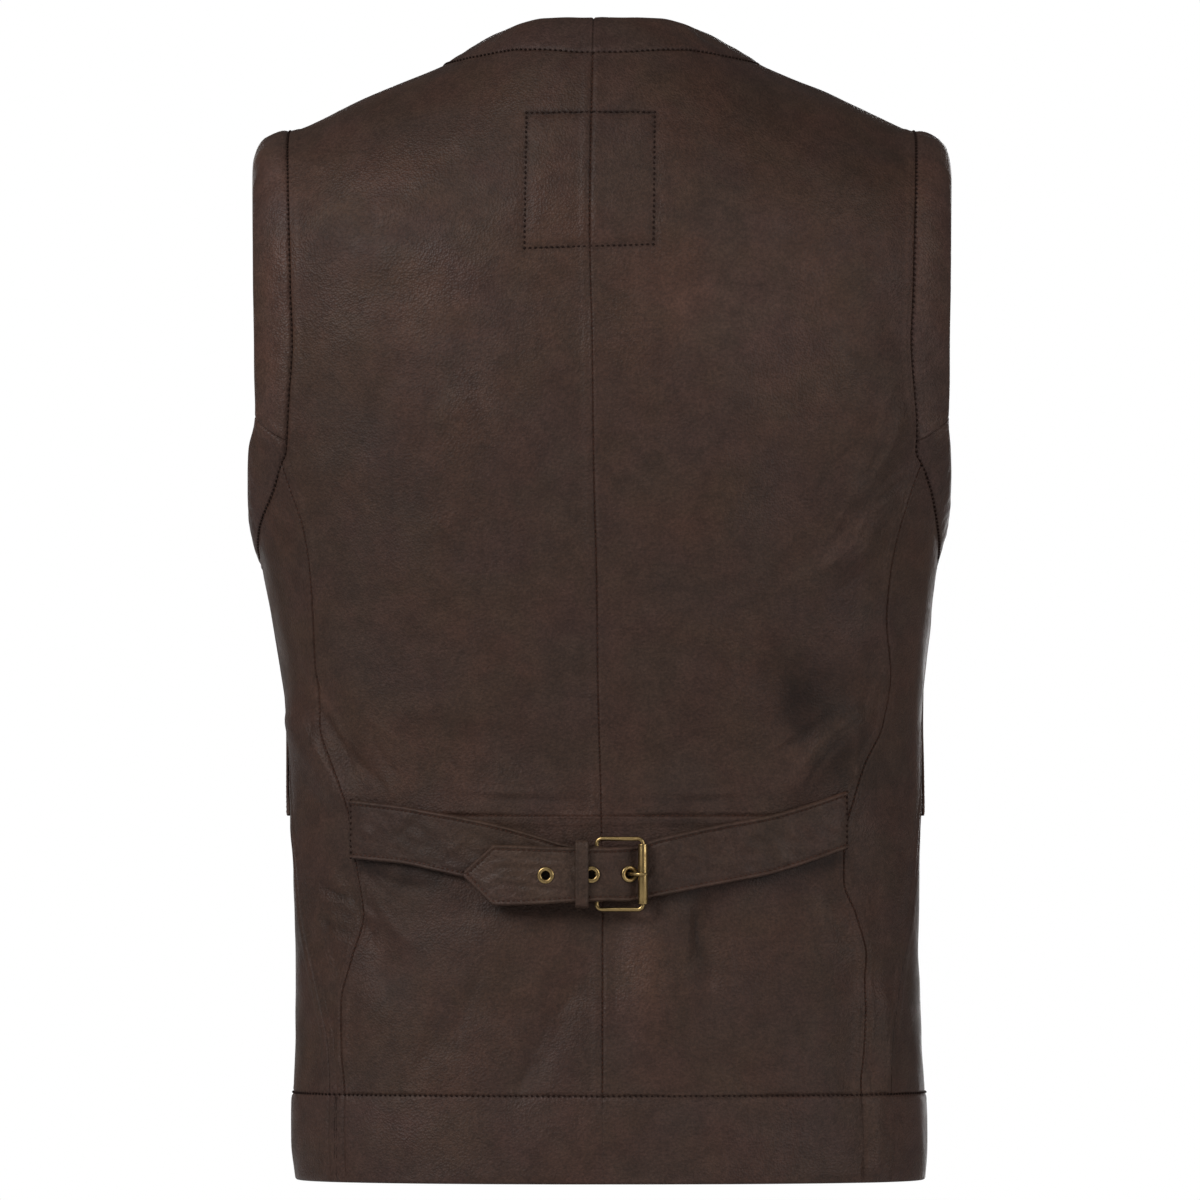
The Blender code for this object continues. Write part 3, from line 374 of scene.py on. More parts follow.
FOLDS_FRONT = np.array([
    (165, -235, 120, -275, 10, 2.6),
    (-165, -238, -126, -270, 10, 2.8),
    (150, -262, 104, -300, 12, -2.4),
    (-150, -268, -100, -296, 11, -2.2),
    (60, -380, 150, -402, 14, -2.8),
    (-56, -392, -148, -386, 13, -2.6),
    (110, -440, 96, -540, 14, 2.8),
    (-118, -446, -92, -548, 15, 2.6),
    (66, -470, 60, -560, 12, -2.2),
    (-60, -480, -70, -562, 12, -2.2)])

# two ends (across, height), bow, half width, height out of the form
CREASES_BACK = np.array([
    (174, -350, 148, -393, 3, 3.2, 1.2),
    (168, -343, 142, -389, -3, 2.8, -1.1),
    (157, -338, 136, -380, 4, 2.6, 0.8),
    (150, -362, 122, -396, 3, 3.0, -0.9),
    (139, -352, 116, -372, -2, 2.4, 0.6),
    (131, -366, 112, -392, 2, 2.6, -0.6),
    (176, -310, 168, -340, 2, 3.6, -0.8),
    (-171, -178, -157, -214, -3, 3.4, 1.1),
    (-164, -190, -148, -224, -2, 3.0, -0.9),
    (-166, -228, -141, -259, 3, 3.0, 1.3),
    (-170, -222, -147, -250, 3, 3.0, -1.1),
    (-154, -250, -124, -274, 2, 3.0, 1.0),
    (-158, -262, -132, -284, -2, 2.8, -0.8),
    (-137, -266, -104, -281, 2, 3.4, 0.7),
    (-129, -229, -108, -251, 2, 3.0, -0.5),
    (-148, -356, -146, -396, 2, 3.0, 1.1),
    (-146, -354, -112, -389, 4, 3.2, 1.2),
    (-141, -366, -116, -398, 3, 2.6, -1.0),
    (-131, -350, -98, -376, -3, 3.0, -0.8),
    (-112, -364, -84, -386, 2, 3.0, 0.6),
    (-157, -330, -150, -356, 2, 3.0, -0.7),
    (156, -440, 124, -474, 4, 3.0, 1.2),
    (150, -450, 130, -488, -3, 2.6, -1.1),
    (141, -438, 110, -462, 3, 2.6, -0.8),
    (134, -452, 104, -488, 3, 3.2, 0.8),
    (160, -462, 148, -506, 2, 3.2, -0.9),
    (-134, -440, -156, -472, -3, 3.0, 1.1),
    (-142, -436, -162, -458, -2, 2.6, -0.9),
    (-128, -452, -146, -492, 3, 3.2, -0.8),
    (-118, -462, -126, -502, 2, 3.4, 0.6),
    (-55, -458, -58, -494, 2, 1.8, -1.3),
    (-48, -460, -47, -500, -2, 2.6, 0.9),
    (-34, -458, -30, -492, 2, 2.4, -0.6),
    (-18, -458, -20, -496, 2, 2.4, 0.6),
    (-66, -462, -72, -520, -4, 3.6, 0.8),
    (18, -513, 30, -527, -2, 2.2, -1.2),
    (30, -527, 39, -549, -1, 2.2, -1.3),
    (39, -549, 47, -570, 1, 2.4, -1.1),
    (24, -514, 46, -560, -3, 3.4, 0.7),
    (62, -492, 84, -548, 4, 4.2, -0.6),
    (98, -500, 112, -562, -4, 4.2, 0.6),
    (-152, -512, -156, -568, 3, 3.2, -1.3),
    (-162, -508, -163, -569, -2, 3.2, 1.3),
    (-169, -520, -170, -568, 2, 3.0, -1.0),
    (-158, -574, -159, -618, 1, 3.0, 1.1),
    (-167, -574, -166, -616, -1, 3.2, -1.0),
    (-150, -576, -149, -612, 1, 3.0, -0.7),
    (-84, -512, -92, -566, 4, 4.6, 0.7),
    (-112, -528, -116, -568, 2, 4.0, -0.6),
    (88, -394, 34, -397, 2, 2.6, 0.6),
    (70, -401, 12, -403, -1, 2.4, -0.6),
    (-22, -394, -86, -397, 2, 2.6, 0.6),
    (-38, -402, -80, -400, 1, 2.4, -0.6),
    (-46, -404, -54, -418, 1, 2.0, -0.7),
    (-60, -404, -66, -418, 1, 2.0, -0.6),
    (112, -150, 136, -214, 6, 8.0, -0.7),
    (-120, -120, -142, -176, -6, 8.0, 0.6),
    (60, -130, 48, -208, 5, 9.0, 0.6),
    (-58, -214, -44, -292, -5, 9.0, -0.6),
    (88, -246, 70, -318, 4, 8.0, -0.6),
    (-92, -300, -70, -348, 4, 6.0, 0.6),
    (120, -286, 104, -330, 3, 6.0, 0.6),
    (152, -560, 152, -520, 2, 3.4, 0.6),
    (128, -574, 130, -616, 2, 4.0, 0.6),
    (70, -574, 66, -616, 2, 4.4, -0.5),
    (-52, -574, -56, -616, 2, 4.4, 0.5),
    (-108, -574, -104, -618, -2, 4.2, -0.6),
    (-34, -456, -31, -534, 3, 17.0, 2.0),
    (-57, -455, -60, -522, -2, 6.5, -1.1),
    (-171, -158, -158, -202, 3, 2.2, 0.6),
    (-169, -190, -146, -221, -3, 2.2, -0.6),
    (-165, -205, -128, -262, 5, 2.4, 0.6),
    (-150, -196, -118, -238, 4, 2.0, -0.45),
    (-106, -324, -122, -376, 3, 13.0, -1.2),
    (-177, -212, -142, -256, 4, 2.6, 0.9),
    (-172, -238, -151, -266, 3, 2.4, -0.8),
    (-159, -252, -136, -283, 3, 2.6, 0.8),
    (-146, -242, -124, -268, 2, 2.2, -0.6),
    (-79, -156, -56, -191, 3, 1.9, 0.4),
    (-68, -184, -38, -228, -4, 1.9, -0.4),
    (-90, -216, -66, -250, 3, 1.9, 0.35),
    (-104, -196, -84, -232, -2, 1.9, -0.35),
    (-116, -244, -92, -276, 2, 2.0, 0.4),
    (137, -440, 96, -452, 4, 5.0, -1.6),
    (164, -448, 141, -458, 3, 2.0, -1.5),
    (166, -458, 139, -468, -3, 2.0, 1.4),
    (163, -467, 141, -479, 3, 2.0, -1.4),
    (158, -478, 144, -487, -2, 1.8, 1.0),
    (128, -368, 116, -404, 3, 2.2, 0.6),
    (134, -360, 124, -396, -2, 2.0, -0.6)])
CREASES_FRONT = np.array([
    (168, -228, 128, -266, 4, 3.4, 1.2),
    (160, -246, 118, -276, -3, 3.0, -1.0),
    (150, -258, 108, -292, 3, 3.0, 0.9),
    (-167, -230, -130, -262, -4, 3.4, 1.2),
    (-158, -246, -116, -280, 3, 3.0, -1.0),
    (-146, -262, -104, -288, -3, 3.0, 0.8),
    (64, -372, 118, -384, 4, 3.4, 1.0),
    (72, -390, 150, -398, -4, 3.2, -1.1),
    (84, -402, 146, -412, 3, 3.0, 0.8),
    (-60, -384, -120, -376, 4, 3.4, 1.0),
    (-66, -398, -146, -390, -4, 3.2, -1.0),
    (-80, -410, -140, -406, 3, 3.0, 0.7),
    (118, -438, 104, -520, 5, 4.6, 0.9),
    (98, -448, 88, -550, -5, 4.4, -0.8),
    (-124, -442, -100, -528, 5, 4.6, 0.9),
    (-100, -456, -84, -556, -5, 4.4, -0.8),
    (62, -470, 52, -552, 4, 4.2, 0.7),
    (-58, -474, -66, -560, -4, 4.2, -0.7),
    (90, -130, 76, -214, 5, 7.0, 0.7),
    (-92, -124, -80, -220, -5, 7.0, 0.7),
    (120, -160, 104, -236, -5, 6.0, -0.7),
    (-118, -156, -106, -232, 5, 6.0, -0.6),
    (148, -574, 150, -616, 2, 4.0, 0.7),
    (92, -574, 88, -616, 2, 4.4, -0.6),
    (-96, -574, -90, -616, 2, 4.4, 0.6),
    (-146, -576, -148, -616, -2, 4.0, -0.6)])


def fold_height(points, table):
    """Height of the broad folds in a table, at points seen from the front or the back."""
    place = points[..., (0, 2)]
    height = np.zeros(place.shape[:-1])
    for x0, z0, x1, z1, width, crest in table:
        start = np.array((x0, z0))
        run = np.array((x1, z1)) - start
        u = np.clip((place - start) @ run / (run @ run), 0, 1)
        off = place - start - u[..., None] * run
        height += crest * np.exp(-np.sum(off**2, -1) / (width * width))
    return height


STEEPER_FLANK = 0.62
CREASE_ENDS = 0.3


def crease_height(points, table):
    """Height of the bowed creases in a table; each dies out towards its ends."""
    place = points[..., (0, 2)]
    height = np.zeros(place.shape[:-1])
    for x0, z0, x1, z1, bow, width, crest in table:
        start = np.array((x0, z0))
        run = np.array((x1, z1)) - start
        length = math.hypot(*run)
        side_step = np.array((-run[1], run[0])) / length
        u = (place - start) @ run / length**2
        inside = np.clip(u, 0, 1)
        off = (place - start) @ side_step - bow * 4 * inside * (1 - inside)
        flank = np.where(off > 0, width, width * STEEPER_FLANK)
        fade = soft_step(-0.08, CREASE_ENDS, u) * (1 - soft_step(1 - CREASE_ENDS, 1.08, u))
        height += crest * np.exp(-(off / flank)**2) * fade
    return height


def ripple(points, length, seed):
    """Uneven waves of about one length, from a few plane waves in fixed directions."""
    chance = np.random.default_rng(seed)
    waves = 7
    total = np.zeros(points.shape[:-1])
    for _ in range(waves):
        direction = chance.normal(size=3)
        direction *= 2 * math.pi / (length * chance.uniform(0.7, 1.45)) / np.linalg.norm(direction)
        total += np.sin(points @ direction + chance.uniform(0, 2 * math.pi))
    return total / math.sqrt(waves)


def skin(side, turn, rise, lap=0.0):
    """Points and normals of the leather's outer face with its broad folds and the lap of the left front."""
    turn, rise = np.broadcast_arrays(np.asarray(turn, float), np.asarray(rise, float))
    points = form(side, turn, rise)
    normals = outward(side, turn, rise)
    behind = soft_step(-0.15, 0.15, np.cos(turn))
    below = 1 - soft_step(CHEST_LINE, RIDGE - 40, rise)
    folds = behind * fold_height(points, FOLDS_BACK) + (1 - behind) * fold_height(points, FOLDS_FRONT)
    lift = below * folds
    lift = lift + lap * (1 - soft_step(LAP_FULL, LAP_END, np.abs(points[..., 0]))) * (np.cos(turn) < 0)
    return points + normals * lift[..., None], normals


# Painted shade and painted highlight where the back lies in shadow or catches the light: two ends (across,
# height), half width, tone
PAINTED_LIGHT_AND_SHADE = (
    (137, -438, 95, -445, 8, -0.60), (160, -452, 142, -474, 12, -0.35), (-124, -340, -142, -384, 26, -0.54),
    (-106, -316, -112, -348, 16, -0.16), (115, -100, -115, -100, 62, 0.40), (190, -35, 190, -185, 12, 0.80),
    (-190, -35, -190, -185, 12, 0.85), (150, -20, 165, -45, 22, 0.42), (-90, -110, -110, -260, 45, 0.22),
    (-50, -458, -54, -496, 6, -0.22), (-27, -460, -138, -434, 5, -0.45), (-92, -450, -138, -444, 12, -0.30),
    (-28, -414, -54, -416, 4, -0.45), (68, -464, 2, -465, 5, -0.45), (-92, -14, -162, -40, 30, -0.32),
    (140, -190, 92, -245, 28, -0.20), (-14, -472, -18, -535, 14, 0.60), (160, -338, 147, -372, 6, 0.45),
    (126, -372, 118, -400, 5, 0.25), (94, -112, 60, -172, 26, 0.22), (68, -172, 66, -176, 5, 0.45),
    (-34, -112, -84, -134, 17, 0.50), (-178, -430, -170, -540, 12, -0.20),
    (-15.4, -444.2, -15.5, -444.2, 3.4, -1.2), (50, -400, -60, -402, 5, -0.25))


def painted_light_and_shade_tone(points, turn):
    """Painted shade and painted highlight on the back, broken up so that none has a clear border."""
    place = points[..., (0, 2)]
    tone = np.zeros(place.shape[:-1])
    for x0, z0, x1, z1, width, depth in PAINTED_LIGHT_AND_SHADE:
        start = np.array((x0, z0))
        run = np.array((x1, z1)) - start
        u = np.clip((place - start) @ run / (run @ run), 0, 1)
        tone += depth * np.exp(-np.sum((place - start - u[..., None] * run)**2, -1) / (width * width))
    return tone * (0.95 + 0.1 * ripple(points, 15.0, 71)) * soft_step(-0.15, 0.15, np.cos(turn))


def fine_relief(points, turn, rise):
    """What the leather does between the broad folds: creases and a slow, uneven swell."""
    behind = soft_step(-0.15, 0.15, np.cos(turn))
    below = 1 - soft_step(CHEST_LINE + 30, RIDGE - 10, rise)
    creases = below * (behind * crease_height(points, CREASES_BACK)
                       + (1 - behind) * crease_height(points, CREASES_FRONT))
    return creases, 0.42 * ripple(points, 74.0, 3) + 0.16 * ripple(points, 27.0, 8)


print("broad folds:", len(FOLDS_BACK) + len(FOLDS_FRONT))
print("creases:", len(CREASES_BACK) + len(CREASES_FRONT))

# %% [markdown]
# ## Leather, its flesh side, brass and thread
# Soft brown hide has colour in clouds: warm red brown beside a cooler, greyer brown, with painted shade in the
# hollows and darker lines along the grooves, and a paler colour on the ridges that is partly rub and partly
# painted highlight. The clouds are noise at four sizes. The painted shade, lines, rubs and painted highlights
# come from a number, the tone, that each shell stores at its points while it is made, so the finish follows the
# sewing. The grain is bump, because its pores are less than half a millimetre deep. Object coordinates keep it
# all fixed to the piece.

# %% Materials
def node(tree, kind, settings=None, **inputs):
    """New node; settings are its properties, inputs its sockets by name."""
    made = tree.nodes.new(kind)
    for key, value in (settings or {}).items():
        setattr(made, key, value)
    for key, value in inputs.items():
        socket = made.inputs[key.replace("_", " ")]
        if isinstance(value, bpy.types.NodeSocket):
            tree.links.new(value, socket)
        else:
            socket.default_value = value
    return made


def noise(tree, place, size, detail=3.0, roughness=0.5, distortion=0.0):
    """Noise whose clouds are about a size across, in millimetres."""
    return node(tree, "ShaderNodeTexNoise", Vector=place, Scale=1 / (size * MM), Detail=detail,
                Roughness=roughness, Distortion=distortion).outputs["Fac"]


def spread_out(tree, value, low, high, to_low=0.0, to_high=1.0):
    """Stretches a number from one range to another, softly and within it."""
    return node(tree, "ShaderNodeMapRange", {"interpolation_type": "SMOOTHSTEP"}, Value=value, From_Min=low,
                From_Max=high, To_Min=to_low, To_Max=to_high).outputs["Result"]


def mix(tree, share, first, second, way="MIX"):
    """Mixes two colours; a colour is a socket or four numbers."""
    made = tree.nodes.new("ShaderNodeMix")
    made.data_type = "RGBA"
    made.blend_type = way
    for socket, value in ((made.inputs[0], share), (made.inputs[6], first), (made.inputs[7], second)):
        if isinstance(value, bpy.types.NodeSocket):
            tree.links.new(value, socket)
        else:
            socket.default_value = value
    return made.outputs[2]


def bump(tree, height, depth, strength=1.0, under=None):
    """Bump of a depth in millimetres."""
    made = node(tree, "ShaderNodeBump", Height=height, Distance=depth * MM, Strength=strength)
    if under is not None:
        tree.links.new(under, made.inputs["Normal"])
    return made.outputs["Normal"]


def new_material(name):
    made = bpy.data.materials.new(name)
    made.use_nodes = True
    return made, made.node_tree, made.node_tree.nodes["Principled BSDF"]


def grey(value):
    return (value, value, value, 1.0)


def times(tree, colour, factor):
    """A colour multiplied by a second one, or by a number."""
    return mix(tree, 1.0, colour, factor, "MULTIPLY")


# what the tone does to the colour at its lowest, painted shade and darker lines, and at its highest, painted
# highlight and rubs, and how much it smooths a rub
DARKEST_SHADE_AND_LINE = 0.25
LIGHTEST_HIGHLIGHT_AND_RUB = 1.4
RUB_SMOOTH = 0.06
# sizes in millimetres: clouds, patches of tint, streaks and specks, then patches of gloss, wrinkles and pores
CLOUD_SIZE = 52
PATCH_SIZE = 33
STREAK_SIZE = 13
SPECK_SIZE = 1.7
GLOSS_SIZE = 46
WRINKLE_SIZE = 4.2
PORE_SIZE = 1.25
# the two tints, how far the streaks and the specks change the colour, and how far the gloss varies
PINKER = (1.04, 0.98, 1.01, 1.0)
GREENER = (0.975, 1.01, 0.985, 1.0)
STREAK_RANGE = (0.86, 1.14)
SPECK_RANGE = (0.78, 1.24)
SMOOTHER = 0.09
ROUGHER = 0.06
HIDE_SPECULAR = 0.17


def hide(name, warm, cool, roughness, grain_depth=0.40, wrinkle_depth=0.24):
    """Grain side of soft leather: two browns in clouds, painted shade and darker lines, painted highlight and
    pale rubs, pores and fine wrinkles.
    """
    made, tree, shader = new_material(name)
    place = tree.nodes.new("ShaderNodeTexCoord").outputs["Object"]
    clouds = spread_out(tree, noise(tree, place, CLOUD_SIZE, 2, 0.55, 0.3), 0.30, 0.70)
    patches = spread_out(tree, noise(tree, place, PATCH_SIZE, 2, 0.6, 0.4), 0.32, 0.68)
    streaks = spread_out(tree, noise(tree, place, STREAK_SIZE, 3, 0.62), 0.30, 0.70, *STREAK_RANGE)
    specks = spread_out(tree, noise(tree, place, SPECK_SIZE, 2, 0.7), 0.30, 0.72, *SPECK_RANGE)
    tone = node(tree, "ShaderNodeAttribute", {"attribute_name": "tone"}).outputs["Fac"]
    # painted shade and darker lines, then painted highlight and rubs, from the stored tone
    shade_and_line_darkening = spread_out(tree, tone, -1.0, 0.0, DARKEST_SHADE_AND_LINE, 1.0)
    highlight_and_rub_lightening = spread_out(tree, tone, 0.0, 1.0, 1.0, LIGHTEST_HIGHLIGHT_AND_RUB)
    colour = mix(tree, clouds, warm, cool)
    for factor in (mix(tree, patches, PINKER, GREENER), streaks, specks, shade_and_line_darkening, highlight_and_rub_lightening):
        colour = times(tree, colour, factor)
    tree.links.new(colour, shader.inputs["Base Color"])

    uneven = spread_out(tree, noise(tree, place, GLOSS_SIZE, 3, 0.6), 0.34, 0.66,
                        roughness - SMOOTHER, roughness + ROUGHER)
    gloss = node(tree, "ShaderNodeMath", {"operation": "SUBTRACT"})
    tree.links.new(uneven, gloss.inputs[0])
    tree.links.new(spread_out(tree, tone, 0.0, 0.5, 0.0, RUB_SMOOTH), gloss.inputs[1])
    tree.links.new(gloss.outputs[0], shader.inputs["Roughness"])
    shader.inputs["Specular IOR Level"].default_value = HIDE_SPECULAR

    wrinkles = bump(tree, noise(tree, place, WRINKLE_SIZE, 3, 0.6, 0.8), wrinkle_depth, 0.7)
    pores = node(tree, "ShaderNodeTexVoronoi", Vector=place, Scale=1 / (PORE_SIZE * MM)).outputs["Distance"]
    tree.links.new(bump(tree, pores, grain_depth, 0.8, wrinkles), shader.inputs["Normal"])
    return made


def flesh(name, colour):
    """Flesh side of the hide: matt, with a short nap."""
    made, tree, shader = new_material(name)
    place = tree.nodes.new("ShaderNodeTexCoord").outputs["Object"]
    patches = spread_out(tree, noise(tree, place, 24, 5, 0.6), 0.3, 0.7, 0.8, 1.2)
    nap = spread_out(tree, noise(tree, place, 0.8, 3, 0.7), 0.25, 0.75, 0.75, 1.25)
    tree.links.new(times(tree, times(tree, colour, patches), nap), shader.inputs["Base Color"])
    tree.links.new(bump(tree, noise(tree, place, 0.7, 4, 0.7), 0.25, 0.8), shader.inputs["Normal"])
    shader.inputs["Roughness"].default_value = 0.92
    shader.inputs["Specular IOR Level"].default_value = 0.15
    shader.inputs["Sheen Weight"].default_value = 0.06
    shader.inputs["Sheen Roughness"].default_value = 0.5
    return made


RUBBED_BRASS = (0.35, 0.245, 0.105, 1.0)
TARNISHED_BRASS = (0.20, 0.13, 0.055, 1.0)


def aged_brass(name):
    """Rubbed brass with brown tarnish in patches and fine dents."""
    made, tree, shader = new_material(name)
    place = tree.nodes.new("ShaderNodeTexCoord").outputs["Object"]
    tarnish = spread_out(tree, noise(tree, place, 4.5, 3, 0.6, 0.6), 0.44, 0.76)
    tree.links.new(mix(tree, tarnish, RUBBED_BRASS, TARNISHED_BRASS), shader.inputs["Base Color"])
    tree.links.new(spread_out(tree, tarnish, 0.0, 1.0, 0.30, 0.44), shader.inputs["Roughness"])
    dents = noise(tree, place, 1.6, 2, 0.5)
    tree.links.new(bump(tree, dents, 0.02, 0.4), shader.inputs["Normal"])
    shader.inputs["Metallic"].default_value = 1.0
    return made


def waxed_thread(name, colour):
    """Waxed sewing thread with its twist."""
    made, tree, shader = new_material(name)
    place = tree.nodes.new("ShaderNodeTexCoord").outputs["Object"]
    shade = spread_out(tree, noise(tree, place, 5, 3), 0.3, 0.7, 0.75, 1.25)
    tree.links.new(times(tree, colour, shade), shader.inputs["Base Color"])
    tree.links.new(bump(tree, noise(tree, place, 0.25, 2), 0.06, 0.8), shader.inputs["Normal"])
    shader.inputs["Roughness"].default_value = 0.75
    shader.inputs["Specular IOR Level"].default_value = 0.12
    return made


VEST_LEATHER = hide("vest_leather_grain", warm=(0.0415, 0.0214, 0.0142, 1.0),
                    cool=(0.0360, 0.0199, 0.0148, 1.0), roughness=0.60)
BAND_LEATHER = hide("band_leather_grain", warm=(0.0425, 0.0223, 0.0156, 1.0),
                    cool=(0.0372, 0.0208, 0.0163, 1.0), roughness=0.57)
BELT_LEATHER = hide("belt_leather_grain", warm=(0.0378, 0.0204, 0.0136, 1.0),
                    cool=(0.0324, 0.0187, 0.0138, 1.0), roughness=0.60, grain_depth=0.26, wrinkle_depth=0.5)
FLESH_SIDE = flesh("leather_flesh_side", (0.058, 0.036, 0.026, 1.0))
BRASS = aged_brass("aged_brass")
THREAD = waxed_thread("waxed_thread", (0.0130, 0.0058, 0.0040, 1.0))
RUSSET = waxed_thread("russet_thread", (0.0500, 0.0215, 0.0145, 1.0))
print("materials:", len(bpy.data.materials))

# %% [markdown]
# ## Cutting a panel
# Each panel is a grid between its four seams. The rows and columns crowd together beside the seams, where the
# leather turns down into the stitching, and are even in between. The outer face gets the relief, the inner
# face stays plain, and the two are closed all round, so a panel is a real wall of leather. At a seam the outer
# face dips. At a ridge, which is a seam with its allowances turned in beneath, they also lift the leather for
# about 5 mm. A free edge is rounded. Beside the stitching the leather is gathered a little, in short uneven
# puckers.

# %% Panels with seams, free edges and puckers
EDGE_STEPS = np.array((0, 0.25, 0.6, 1.0, 1.5, 2.1, 2.8, 3.6, 4.5, 5.6, 7.0))
# depth and width of the dip at a topstitched seam, and at the fine line of a ridge
SEAM_DIP = 0.45
SEAM_WIDTH = 1.0
PLAIN_DIP = 0.36
PLAIN_WIDTH = 0.55
# width and height of the turned-in allowance
ALLOWANCE = 5.2
ALLOWANCE_RISE = 0.5
# length of the puckers, of the stretches where they come and go, how far they reach and how high they are
PUCKER_LENGTH = 6.4
GATHER_LENGTH = 9.0
PUCKER_REACH = 5.5
SEAM_PUCKER = 0.16
RIDGE_PUCKER = 0.06
# radius of a free edge, and how far from a free edge and from a seam the relief is calm
EDGE_RADIUS = 2.2
EDGE_CALM = 6.0
SEAM_CALM = 2.5
# tone from the relief, painted shade in its hollows and painted highlight with rub on its ridges, and its most;
# then the rub at a free edge, the painted highlight beside a ridge, darker lines along a ridge and a seam, and
# the painted highlight beside a seam
RELIEF_SHADE_AND_HIGHLIGHT = 0.16
RELIEF_SHADE_AND_HIGHLIGHT_MOST = 0.35
EDGE_RUB = 0.30
ALLOWANCE_HIGHLIGHT = 0.14
RIDGE_LINE_DARKER = 0.22
SEAM_LINE_DARKER = 0.04
SEAM_SIDE_HIGHLIGHT = 0.1
pieces = []
triangles = {}


def spread(length, step):
    """Shares of a length, close together beside both ends and even between."""
    reach = EDGE_STEPS[-1]
    count = max(int(round((length - 2 * reach) / step)), 2)
    middle = np.linspace(reach, length - reach, count + 1)[1:-1]
    return np.concatenate([EDGE_STEPS, middle, length - EDGE_STEPS[::-1]]) / length


def resample(path, shares):
    """Points of a dense path at shares of its steps."""
    at = np.asarray(shares) * (len(path) - 1)
    return np.stack([np.interp(at, np.arange(len(path)), path[:, k]) for k in range(path.shape[1])], -1)


def patch(low, high, left, right, across, up):
    """Grid between four paths: low and high run across, left and right run up."""
    low, high = resample(low, across), resample(high, across)
    left, right = resample(left, up), resample(right, up)
    u, v = across[None, :, None], up[:, None, None]
    bow_low = low[None] - low[0] * (1 - u) - low[-1] * u
    bow_high = high[None] - high[0] * (1 - u) - high[-1] * u
    return left[:, None] * (1 - u) + right[:, None] * u + bow_low * (1 - v)**2 + bow_high * v**2


def across_band(seam, edge, across, up):
    """Grid of a band: rows run along it, columns from its seam to its free edge."""
    seam, edge = resample(seam, up), resample(edge, up)
    return seam[:, None] * (1 - across[None, :, None]) + edge[:, None] * across[None, :, None]


def edge_distances(points):
    """How far each point lies from the low, high, left and right edge of its grid, square to that edge."""
    found = []
    for axis in (0, 1):
        steps = np.linalg.norm(np.diff(points, axis=axis), axis=-1)
        from_first = np.cumsum(np.insert(steps, 0, 0.0, axis), axis)
        from_last = from_first.take([-1], axis) - from_first
        for end, inner, distance in ((0, 1, from_first), (-1, -2, from_last)):
            border = points.take(end, axis)
            into = points.take(inner, axis) - border
            along = np.gradient(border, axis=0)
            slant = np.linalg.norm(np.cross(into, along), axis=-1)
            slant /= np.linalg.norm(into, axis=-1) * np.linalg.norm(along, axis=-1) + 1e-9
            found.append(distance * np.expand_dims(slant, axis))
    return found


def bell(distance, middle, width):
    """A soft bump: 1 at the middle distance, and next to nothing two widths away on either side."""
    return np.exp(-((distance - middle) / width)**2)


def round_off(distance, radius):
    """How far a rounded edge falls away, at a distance from it."""
    inside = np.clip(distance / radius, 0, 1)
    return radius * (1 - np.sqrt(1 - (1 - inside)**2))


def shell(name, outer, inner, look, tone=None, inner_look=None):
    """Closed wall between two grids of points in millimetres, as a new object."""
    rows, columns = outer.shape[:2]
    index = np.arange(rows * columns).reshape(rows, columns)
    quads = np.stack([index[:-1, :-1], index[:-1, 1:], index[1:, 1:], index[1:, :-1]], -1).reshape(-1, 4)
    under = index + rows * columns
    back = quads[:, ::-1] + rows * columns
    rims = []
    for top, low in ((index[0, ::-1], under[0, ::-1]), (index[::-1, -1], under[::-1, -1]),
                     (index[-1], under[-1]), (index[:, 0], under[:, 0])):
        rims.append(np.stack([top[:-1], top[1:], low[1:], low[:-1]], -1))
    faces = np.concatenate([quads, back, *rims])
    middle = outer[rows // 2, columns // 2]
    facing = np.cross(outer[rows // 2, columns // 2 + 1] - middle,
                      outer[rows // 2 + 1, columns // 2] - middle)
    if facing @ (middle - inner[rows // 2, columns // 2]) < 0:
        faces = faces[:, ::-1]
    mesh = bpy.data.meshes.new(name)
    vertices = np.concatenate([outer.reshape(-1, 3), inner.reshape(-1, 3)]) * MM
    mesh.from_pydata(vertices.tolist(), [], faces.tolist())
    mesh.shade_smooth()
    if tone is not None:
        stored = mesh.attributes.new("tone", "FLOAT", "POINT")
        values = np.zeros(len(vertices), np.float32)
        values[:rows * columns] = np.clip(tone, -1, 1).ravel()
        stored.data.foreach_set("value", values)
    mesh.materials.append(look)
    if inner_look is not None:
        mesh.materials.append(inner_look)
        chosen = np.zeros(len(faces), np.int32)
        chosen[len(quads):2 * len(quads)] = 1
        mesh.polygons.foreach_set("material_index", chosen)
    made = bpy.data.objects.new(name, mesh)
    bpy.context.scene.collection.objects.link(made)
    triangles[name] = 2 * len(faces)
    return made


def flat_size(points):
    """Width, length and area of a grid of leather laid flat, in metres and square metres."""
    width = np.linalg.norm(np.diff(points, axis=1), axis=-1).sum(1).max() * MM
    length = np.linalg.norm(np.diff(points, axis=0), axis=-1).sum(0).max() * MM
    one, two = points[1:, 1:] - points[:-1, :-1], points[1:, :-1] - points[:-1, 1:]
    area = np.linalg.norm(np.cross(one, two), axis=-1).sum() / 2 * MM * MM
    return (float(width), float(length)), float(min(area, width * length))


